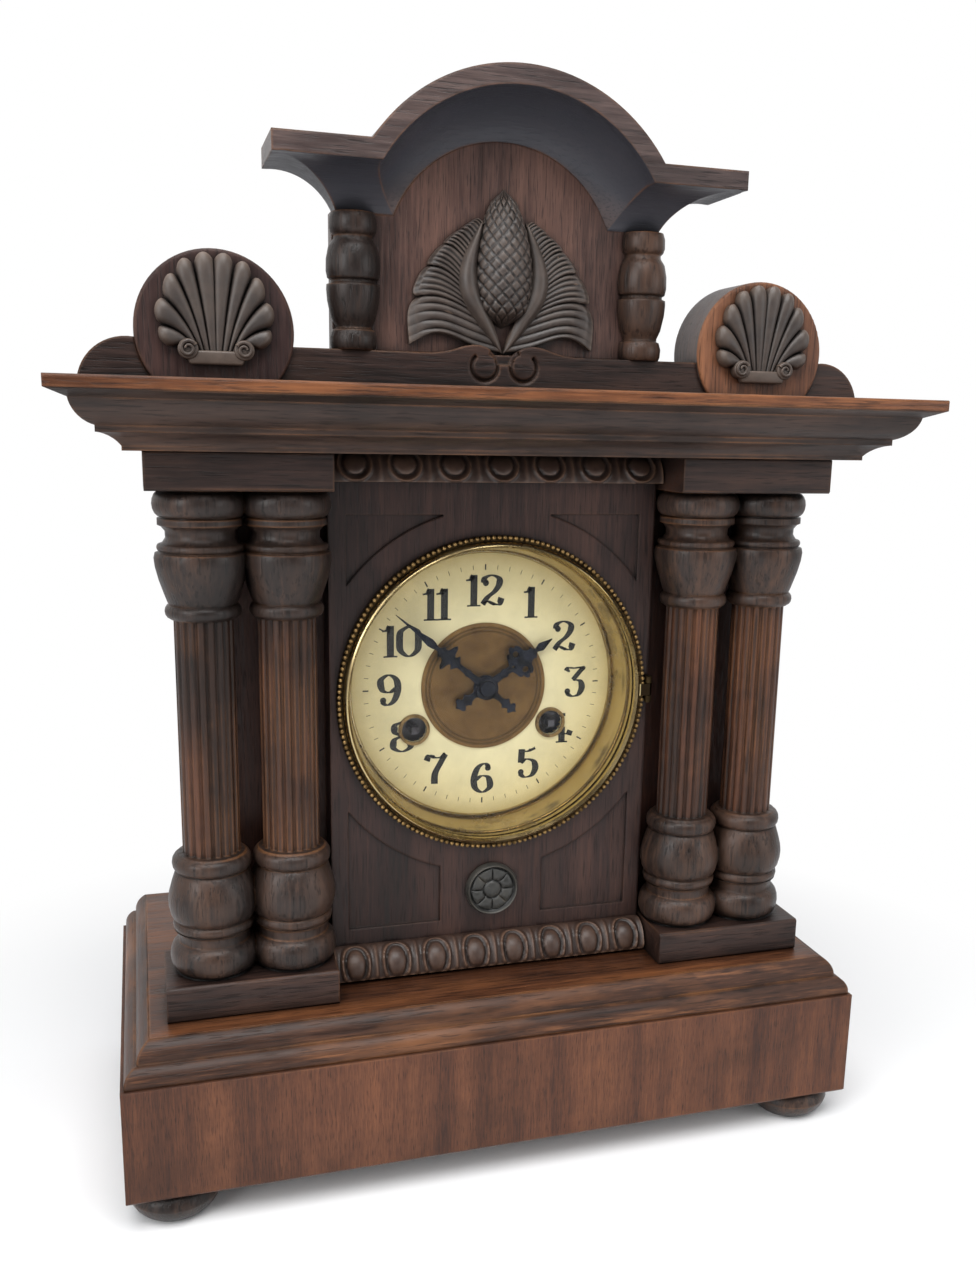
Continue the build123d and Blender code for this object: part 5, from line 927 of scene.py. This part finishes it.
# %% Columns
low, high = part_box("columns")
COLUMN_REACH = (high.y - low.y) / 2
COLUMN_SPACING = 0.033
TOUCH = COLUMN_SPACING / 2 - 0.0001
RADIAL = COLUMN_REACH / max(radius for radius, rise in COLUMN_PROFILE)
UPRIGHT = (high.z - low.z) / COLUMN_PROFILE[-1][1]


def turned_column(x, neighbour):
    """A column at x, with a flat where it meets its neighbour on the right (1) or left (-1)."""
    def column(p):
        radius, rise = on_profile(COLUMN_PROFILE, p.y + 0.5)
        turn = 2 * math.pi * (p.x + 0.5)
        if SHAFT_FOOT <= rise <= SHAFT_HEAD and radius <= SHAFT_RADIUS:
            radius -= FLUTE_DEPTH * max(0.0, math.cos(FLUTES * turn)) ** 0.7
        across = radius * RADIAL * math.sin(turn)
        across = min(across, TOUCH) if neighbour > 0 else max(across, -TOUCH)
        y = (low.y + high.y) / 2 - radius * RADIAL * math.cos(turn)
        return Vector((x + across, y, low.z + rise * UPRIGHT))

    start()
    bpy.ops.mesh.primitive_grid_add(x_subdivisions=FLUTES * 8, y_subdivisions=len(COLUMN_PROFILE) - 1, size=1)
    return reshape(bpy.context.object, column)


outer = high.x - COLUMN_REACH
inner = outer - COLUMN_SPACING
places = [(side * x, side * facing) for side in (-1, 1) for x, facing in ((inner, 1), (outer, -1))]
columns = join([turned_column(*place) for place in places], "fluted_columns")
tidy_faces(columns, 40)
dress(columns, dark_turning, "case", "turned_wood", "columns")

# %% [markdown]
# ## Egg and dart
# Two strips of rounded moulding carry a row of eggs, each in a raised arch, with a dart between
# neighbours. The grid is first wrapped round the moulding's profile and then raised by the pattern.

# %% Egg strips
EGG_RELIEF = 0.0024


def egg_pattern(across, down):
    """Height of the carving: across is -1..1 over one egg, down is 0 at the open end and 1 at the arch."""
    around = math.hypot(across / 0.46, (down - 0.36) / 0.44)
    egg = 0.95 * math.sqrt(max(0.0, 1 - around * around))
    arch = 0.62 * math.exp(-((around - 1.42) / 0.17) ** 2)
    dart = 0.50 * math.exp(-((1 - abs(across)) / 0.10) ** 2) * min(1, 1.6 - 1.3 * down)
    return max(egg, arch, dart)


def egg_strip(name, left, right, back, front, foot, head, eggs, arch_up):
    def wrap(u, v):
        across = ((u * eggs) % 1) * 2 - 1 if u < 1 else 1.0
        bend = math.radians(6 + 82 * v) if arch_up else math.radians(88 - 82 * v)
        band = min(max((v - 0.06) / 0.88, 0), 1)
        fade = min(1, 14 * v, 14 * (1 - v))
        height = egg_pattern(across, band if arch_up else 1 - band) * EGG_RELIEF * fade
        depth, tall = (back - front) - EGG_RELIEF, (head - foot)
        if arch_up:
            y, z = back - depth * math.cos(bend), foot + tall * math.sin(bend)
        else:
            y, z = back - depth * math.cos(math.pi / 2 - bend), foot + tall * v
        return left + (right - left) * u, y - height * 0.9, z + height * (0.35 if arch_up else -0.1)
    return relief(eggs * 36, 34, wrap, back, name)


low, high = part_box("egg_mouldings")
panel_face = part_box("front_panel")[0].y
lower_eggs = egg_strip("lower_egg_and_dart", low.x, high.x, panel_face, low.y, low.z, low.z + 0.0142, 8, True)
upper_eggs = egg_strip("upper_egg_and_dart", low.x, high.x, panel_face, low.y + 0.003, high.z - 0.012, high.z,
                       7, False)
for made in (lower_eggs, upper_eggs):
    dress(made, brown_carving, "case", "carved_wood", "egg_mouldings")

# %% [markdown]
# ## The rosette
# Under the dial sits a small turned disc, carved with eight wedge petals around a button.

# %% Rosette
low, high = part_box("panel_rosette")
ROSETTE = (low + high) / 2
rosette_radius = (high.x - low.x) / 2


def rosette(u, r):
    turn = 2 * math.pi * u
    petal = abs(math.sin(4 * turn)) ** 0.45
    button = 0.0016 * math.sqrt(max(0, 1 - (r / 0.33) ** 2))
    leafy = 0.0014 * petal * max(0, math.sin(math.pi * min(max((r - 0.36) / 0.46, 0), 1))) ** 0.5
    rim = 0.0016 * math.exp(-((r - 0.92) / 0.055) ** 2)
    rise = 0.0020 + max(button, leafy, rim) - 0.0006 * (r > 0.985)
    x = ROSETTE.x + r * rosette_radius * math.cos(turn)
    return x, panel_face - rise, ROSETTE.z + r * rosette_radius * math.sin(turn)


rosette_piece = relief(160, 40, rosette, panel_face, "rosette")
dress(rosette_piece, black_carving, "case", "carved_wood", "panel_rosette")

# %% [markdown]
# ## Beading round the bezel
# The bezel's seat is stamped with a row of tiny beads. Each is a coarse ball, set round the ring.

# %% Bead ring
BEADS = 176
low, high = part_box("bezel_surround")
bead_circle = (high.x - low.x) / 2 - 0.0008


def bead(i):
    start()
    bpy.ops.mesh.primitive_uv_sphere_add(segments=7, ring_count=5, radius=0.00105)
    made = bpy.context.object
    turn = 2 * math.pi * i / BEADS
    x, z = DIAL.x + bead_circle * math.sin(turn), DIAL.z + bead_circle * math.cos(turn)
    made.location = (x, low.y + 0.0002, z)
    made.rotation_euler = (0, turn, 0)
    return made


bead_ring = tidy_faces(join([bead(i) for i in range(BEADS)], "bead_ring"), 80)
dress(bead_ring, bead_brass, "case", "tarnished_brass")

# %% [markdown]
# ## The sight ring
# Between the glass and the dial slopes a turned brass ring with a bead, a hollow and a lip. A grid
# is wrapped round the dial's axis, with a closed profile of radius and depth.

# %% Sight ring
low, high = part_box("sight_ring")
outer = (high.x - low.x) / 2
SIGHT_PROFILE = [(0.0608, 0.0), (0.0608, 0.0008), (0.0612, 0.0014), (0.0618, 0.0014), (0.0621, 0.0009),
                 (0.0623, 0.0012), (0.0624, 0.0026), (0.0627, 0.0062), (0.0633, 0.0100), (0.0642, 0.0132),
                 (0.0643, 0.0142), (0.0647, 0.0149), (0.0652, 0.0146), (0.0654, 0.0156),
                 (0.0655, high.y - low.y), (outer, high.y - low.y), (outer - 0.0003, 0.0150), (0.0624, 0.0),
                 (0.0608, 0.0)]


def sight(p):
    radius, forward = on_profile(SIGHT_PROFILE, p.y + 0.5)
    turn = 2 * math.pi * (p.x + 0.5)
    return Vector((DIAL.x + radius * math.sin(turn), high.y - forward, DIAL.z + radius * math.cos(turn)))


start()
bpy.ops.mesh.primitive_grid_add(x_subdivisions=180, y_subdivisions=(len(SIGHT_PROFILE) - 1) * 2, size=1)
sight_ring = bpy.context.object
sight_ring.name = "moulded_sight_ring"
reshape(sight_ring, sight)
tidy_faces(sight_ring, 35)
dress(sight_ring, bezel_brass, "case", "tarnished_brass", "sight_ring")

# %% [markdown]
# ## Numerals and minute marks
# The hours are painted in a fat, upright figure: strokes that run up are broad and strokes that run
# across are thin, as a flat pen makes them. Each stroke is a narrow grid laid along a smooth path,
# and its width follows its direction.

# %% Pen strokes
HEIGHT = 0.0142
BROAD, THIN = 0.225, 0.05
INK_FACE = DIAL_FACE - 0.00008


def stroke(points, weight=1.0, steps=14):
    """A flat ribbon through points in figure heights (x right, y up)."""
    count = (len(points) - 1) * steps
    start()
    bpy.ops.mesh.primitive_grid_add(x_subdivisions=count, y_subdivisions=1, size=1)

    def lay(p):
        t = p.x + 0.5
        x, y = through(points, t)
        xa, ya = through(points, max(t - 0.01, 0))
        xb, yb = through(points, min(t + 0.01, 1))
        dx, dy = xb - xa, yb - ya
        size = math.hypot(dx, dy) or 1
        dx, dy = dx / size, dy / size
        half = (THIN + (BROAD - THIN) * abs(dy) ** 1.6) * weight / 2
        side = 1 if p.y > 0 else -1
        return Vector((x - side * half * dy, 0, y + side * half * dx))

    return reshape(bpy.context.object, lay)


def dot(x, y, radius):
    start()
    bpy.ops.mesh.primitive_circle_add(vertices=20, radius=radius, fill_type="NGON",
                                      rotation=(math.pi / 2, 0, 0), location=(x, 0, y))
    return settle(bpy.context.object)


DIGITS = {
    "0": ([[(0.5, 0.98), (0.24, 0.8), (0.2, 0.5), (0.24, 0.2), (0.5, 0.02), (0.76, 0.2), (0.8, 0.5),
            (0.76, 0.8), (0.5, 0.98)]], []),
    "1": ([[(0.5, 1.0), (0.5, 0.5), (0.5, 0.0)], [(0.28, 0.02), (0.5, 0.03), (0.72, 0.02)],
           [(0.48, 0.97), (0.38, 0.86), (0.24, 0.83)]], []),
    "2": ([[(0.24, 0.74), (0.28, 0.9), (0.5, 0.98), (0.72, 0.88), (0.74, 0.7), (0.6, 0.48), (0.36, 0.28),
            (0.2, 0.06)],
           [(0.2, 0.08), (0.36, 0.15), (0.56, 0.07), (0.74, 0.06), (0.82, 0.26)]],
          [(0.3, 0.74, 0.10), (0.56, 0.07, 0.055)]),
    "3": ([[(0.24, 0.86), (0.3, 0.97), (0.5, 0.96), (0.78, 0.97), (0.64, 0.78), (0.46, 0.57)],
           [(0.46, 0.57), (0.7, 0.52), (0.78, 0.3), (0.66, 0.07), (0.44, 0.02), (0.24, 0.14)]],
          [(0.28, 0.19, 0.10)]),
    "4": ([[(0.54, 1.0), (0.54, 0.5), (0.54, 0.0)], [(0.50, 0.98), (0.26, 0.58), (0.04, 0.3)],
           [(0.04, 0.29), (0.42, 0.3), (0.86, 0.29)], [(0.34, 0.02), (0.54, 0.03), (0.74, 0.02)],
           [(0.78, 0.24), (0.80, 0.3), (0.84, 0.4)]], []),
    "5": ([[(0.3, 0.98), (0.29, 0.75), (0.28, 0.52)], [(0.3, 0.92), (0.5, 0.9), (0.7, 0.97), (0.76, 1.0)],
           [(0.28, 0.52), (0.46, 0.63), (0.7, 0.55), (0.78, 0.32), (0.66, 0.08), (0.42, 0.02), (0.23, 0.16)]],
          [(0.28, 0.2, 0.10), (0.58, 0.93, 0.055)]),
    "6": ([[(0.74, 0.86), (0.56, 0.98), (0.34, 0.84), (0.22, 0.5), (0.27, 0.18), (0.5, 0.02), (0.73, 0.14),
            (0.77, 0.32), (0.68, 0.52), (0.48, 0.57), (0.3, 0.46)]],
          [(0.69, 0.83, 0.10)]),
    "7": ([[(0.18, 0.78), (0.26, 0.95), (0.44, 0.88), (0.64, 0.88), (0.8, 0.99)],
           [(0.8, 0.98), (0.62, 0.66), (0.46, 0.34), (0.44, 0.0)]],
          [(0.4, 0.91, 0.06)]),
    "8": ([[(0.5, 0.98), (0.28, 0.88), (0.28, 0.66), (0.5, 0.53), (0.74, 0.4), (0.76, 0.15), (0.5, 0.02),
            (0.24, 0.15), (0.26, 0.4), (0.5, 0.53), (0.72, 0.66), (0.72, 0.88), (0.5, 0.98)]], []),
    "9": ([[(0.26, 0.14), (0.44, 0.02), (0.66, 0.16), (0.78, 0.5), (0.73, 0.82), (0.5, 0.98), (0.27, 0.86),
            (0.23, 0.68), (0.32, 0.48), (0.52, 0.43), (0.7, 0.54)]],
          [(0.31, 0.17, 0.10)]),
}
FIGURE_CIRCLE = 0.0438
NARROW, WIDE = 0.44, 0.74


def figure(hour):
    """One hour's figure, centred on its place on the dial."""
    digits = str(hour)
    pieces = []
    widths = [NARROW if digit == "1" else WIDE for digit in digits]
    across = -sum(widths) / 2
    for digit, width in zip(digits, widths):
        strokes, dots = DIGITS[digit]
        for piece in [stroke(s) for s in strokes] + [dot(*d) for d in dots]:
            piece.location = (across + width / 2 - 0.5, 0, -0.5)
            pieces.append(piece)
        across += width
    made = join(pieces, "figure_" + digits)
    turn = math.radians(30 * hour)
    made.scale = (HEIGHT, HEIGHT, HEIGHT)
    x, z = DIAL.x + FIGURE_CIRCLE * math.sin(turn), DIAL.z + FIGURE_CIRCLE * math.cos(turn)
    made.location = (x, INK_FACE, z)
    return settle(made)


# %% Figures on the dial
figures = join([figure(hour) for hour in range(1, 13)], "hour_figures")

# %% Minute marks
MARK_CIRCLE = 0.0544


def minute_mark(minute):
    start()
    bpy.ops.mesh.primitive_plane_add(size=1, rotation=(math.pi / 2, 0, 0))
    made = settle(bpy.context.object)
    hour_mark = minute % 5 == 0
    made.scale = (0.00062 if hour_mark else 0.00026, 1, 0.0026 if hour_mark else 0.0020)
    settle(made)
    turn = math.radians(6 * minute)
    made.rotation_euler = (0, turn, 0)
    x, z = DIAL.x + MARK_CIRCLE * math.sin(turn), DIAL.z + MARK_CIRCLE * math.cos(turn)
    made.location = (x, INK_FACE, z)
    return made


marks = join([minute_mark(m) for m in range(60)], "minute_marks")


def clear_holes(made):
    """Remove the paint that would cross the winding holes."""
    low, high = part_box("winding_grommets")
    hole_z = (low.z + high.z) / 2
    hole_radius = (high.z - low.z) / 2 - 0.0006
    hole_x = high.x - (high.z - low.z) / 2
    pick(made)
    bpy.ops.object.mode_set(mode="EDIT")
    bpy.ops.mesh.select_mode(type="FACE")
    bpy.ops.mesh.select_all(action="DESELECT")
    bpy.ops.object.mode_set(mode="OBJECT")
    for polygon in made.data.polygons:
        places = [math.hypot(polygon.center.x - s * hole_x, polygon.center.z - hole_z) for s in (-1, 1)]
        polygon.select = min(places) < hole_radius
    bpy.ops.object.mode_set(mode="EDIT")
    bpy.ops.mesh.delete(type="FACE")
    bpy.ops.object.mode_set(mode="OBJECT")
    return made


clear_holes(figures)

# %% Black paint
ink, tree, shader = new_material("black_paint")
thin = noise(tree, object_place(tree), 900.0, 4.0)
black = ramp(tree, thin, [(0.4, (0.008, 0.009, 0.008)), (0.72, (0.045, 0.045, 0.035))])
tree.links.new(black, shader.inputs["Base Color"])
tree.links.new(ramp(tree, thin, [(0.3, grey(0.4)), (0.7, grey(0.6))]), shader.inputs["Roughness"])
for made in (figures, marks):
    dress(made, ink, "case", "dial_cream")

# %% [markdown]
# ## The hands
# The hands are steel in a leafy fretwork pattern. Half of each outline is listed, from tail to tip,
# and mirrored. The hour hand's round holes are inner outlines of the same flat shape.

# %% Hand outlines
HAND_BEVEL = 0.00008
HOLE_POINTS = 20


def pierced(x, y, radius):
    """Points of a round hole."""
    turns = [k * math.pi / (HOLE_POINTS / 2) for k in range(HOLE_POINTS)]
    return [(x + radius * math.cos(a), y + radius * math.sin(a)) for a in turns]


def hand(name, half, holes, hub, turn, low, high):
    """half: (along, half width) in mm from tail to tip; holes: (across, along, radius) in mm."""
    data = bpy.data.curves.new(name, "CURVE")
    data.dimensions = "2D"
    data.fill_mode = "BOTH"
    data.resolution_u = 1
    data.extrude = (high.y - low.y) / 2 - HAND_BEVEL
    data.bevel_depth = HAND_BEVEL
    outline = [(w, a) for a, w in half] + [(-w, a) for a, w in reversed(half)]
    for ring in [outline] + [pierced(*hole) for hole in holes]:
        spline = data.splines.new("POLY")
        spline.points.add(len(ring) - 1)
        spline.use_cyclic_u = True
        for point, (x, y) in zip(spline.points, ring):
            point.co = (x * MM, y * MM, 0, 1)
    made = bpy.data.objects.new(name, data)
    bpy.context.scene.collection.objects.link(made)
    pick(made)
    bpy.ops.object.convert(target="MESH")
    made = bpy.context.object
    start()
    bpy.ops.mesh.primitive_cylinder_add(vertices=48, radius=hub * MM, depth=high.y - low.y)
    boss = modify(settle(bpy.context.object), "BEVEL", width=0.00015, segments=2)
    made = join([made, boss], name)
    made.rotation_euler = (math.pi / 2, math.radians(turn), 0)
    made.location = (DIAL.x, (low.y + high.y) / 2, DIAL.z)
    return tidy_faces(settle(made), 30)


MINUTE_HALF = [(-17.6, 0.15), (-16.4, 0.7), (-15.8, 1.9), (-15.0, 2.7), (-14.2, 2.2), (-13.9, 1.2),
               (-12.6, 1.5), (-11.2, 2.6), (-10.2, 1.4), (-8.4, 1.0), (-5.0, 1.5), (-3.0, 2.6), (3.0, 2.6),
               (6.0, 1.6), (10.0, 1.25), (12.0, 1.7), (13.0, 1.2), (17.5, 1.1), (18.6, 2.3), (19.6, 3.6),
               (20.4, 2.2), (21.4, 1.9), (22.2, 3.1), (22.6, 5.3), (23.4, 6.4), (24.4, 5.4), (24.9, 3.6),
               (25.6, 2.4), (27.0, 2.0), (27.8, 2.9), (28.6, 1.5), (29.6, 0.8), (30.8, 0.9), (32.4, 1.5),
               (34.5, 1.85), (37.0, 1.5), (41.0, 0.85), (46.0, 0.5), (50.0, 0.34), (54.4, 0.08)]
HOUR_HALF = [(-16.4, 0.2), (-15.4, 1.0), (-14.8, 2.6), (-13.8, 3.4), (-12.8, 2.6), (-12.4, 1.5), (-11.0, 2.0),
             (-9.8, 3.0), (-8.6, 1.7), (-6.5, 1.2), (-4.0, 2.2), (-2.5, 2.9), (2.5, 2.9), (5.5, 1.7),
             (9.5, 1.4), (11.0, 2.1), (12.2, 1.4), (14.2, 1.5), (15.2, 3.4), (15.8, 5.6), (16.9, 6.4),
             (17.6, 5.6), (17.9, 6.9), (18.6, 8.2), (19.8, 8.4), (20.6, 7.0), (21.8, 7.6), (23.2, 6.4),
             (23.6, 4.4), (24.4, 2.9), (26.2, 2.3), (27.2, 3.0), (28.0, 1.5), (29.0, 0.8), (30.0, 1.2),
             (31.6, 1.9), (33.2, 1.5), (35.6, 0.7), (37.9, 0.1)]
HOUR_HOLES = [(-4.3, 19.9, 1.5), (4.3, 19.9, 1.5), (0, 15.9, 0.7)]
minute_hand = hand("fret_minute_hand", MINUTE_HALF, [], 5.2, 309.6, *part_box("minute_hand"))
hour_hand = hand("fret_hour_hand", HOUR_HALF, HOUR_HOLES, 5.6, 55.8, *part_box("hour_hand"))
dress(minute_hand, hand_steel, "minute_hand", "blued_steel", "minute_hand")
dress(hour_hand, hand_steel, "hour_hand", "blued_steel", "hour_hand")
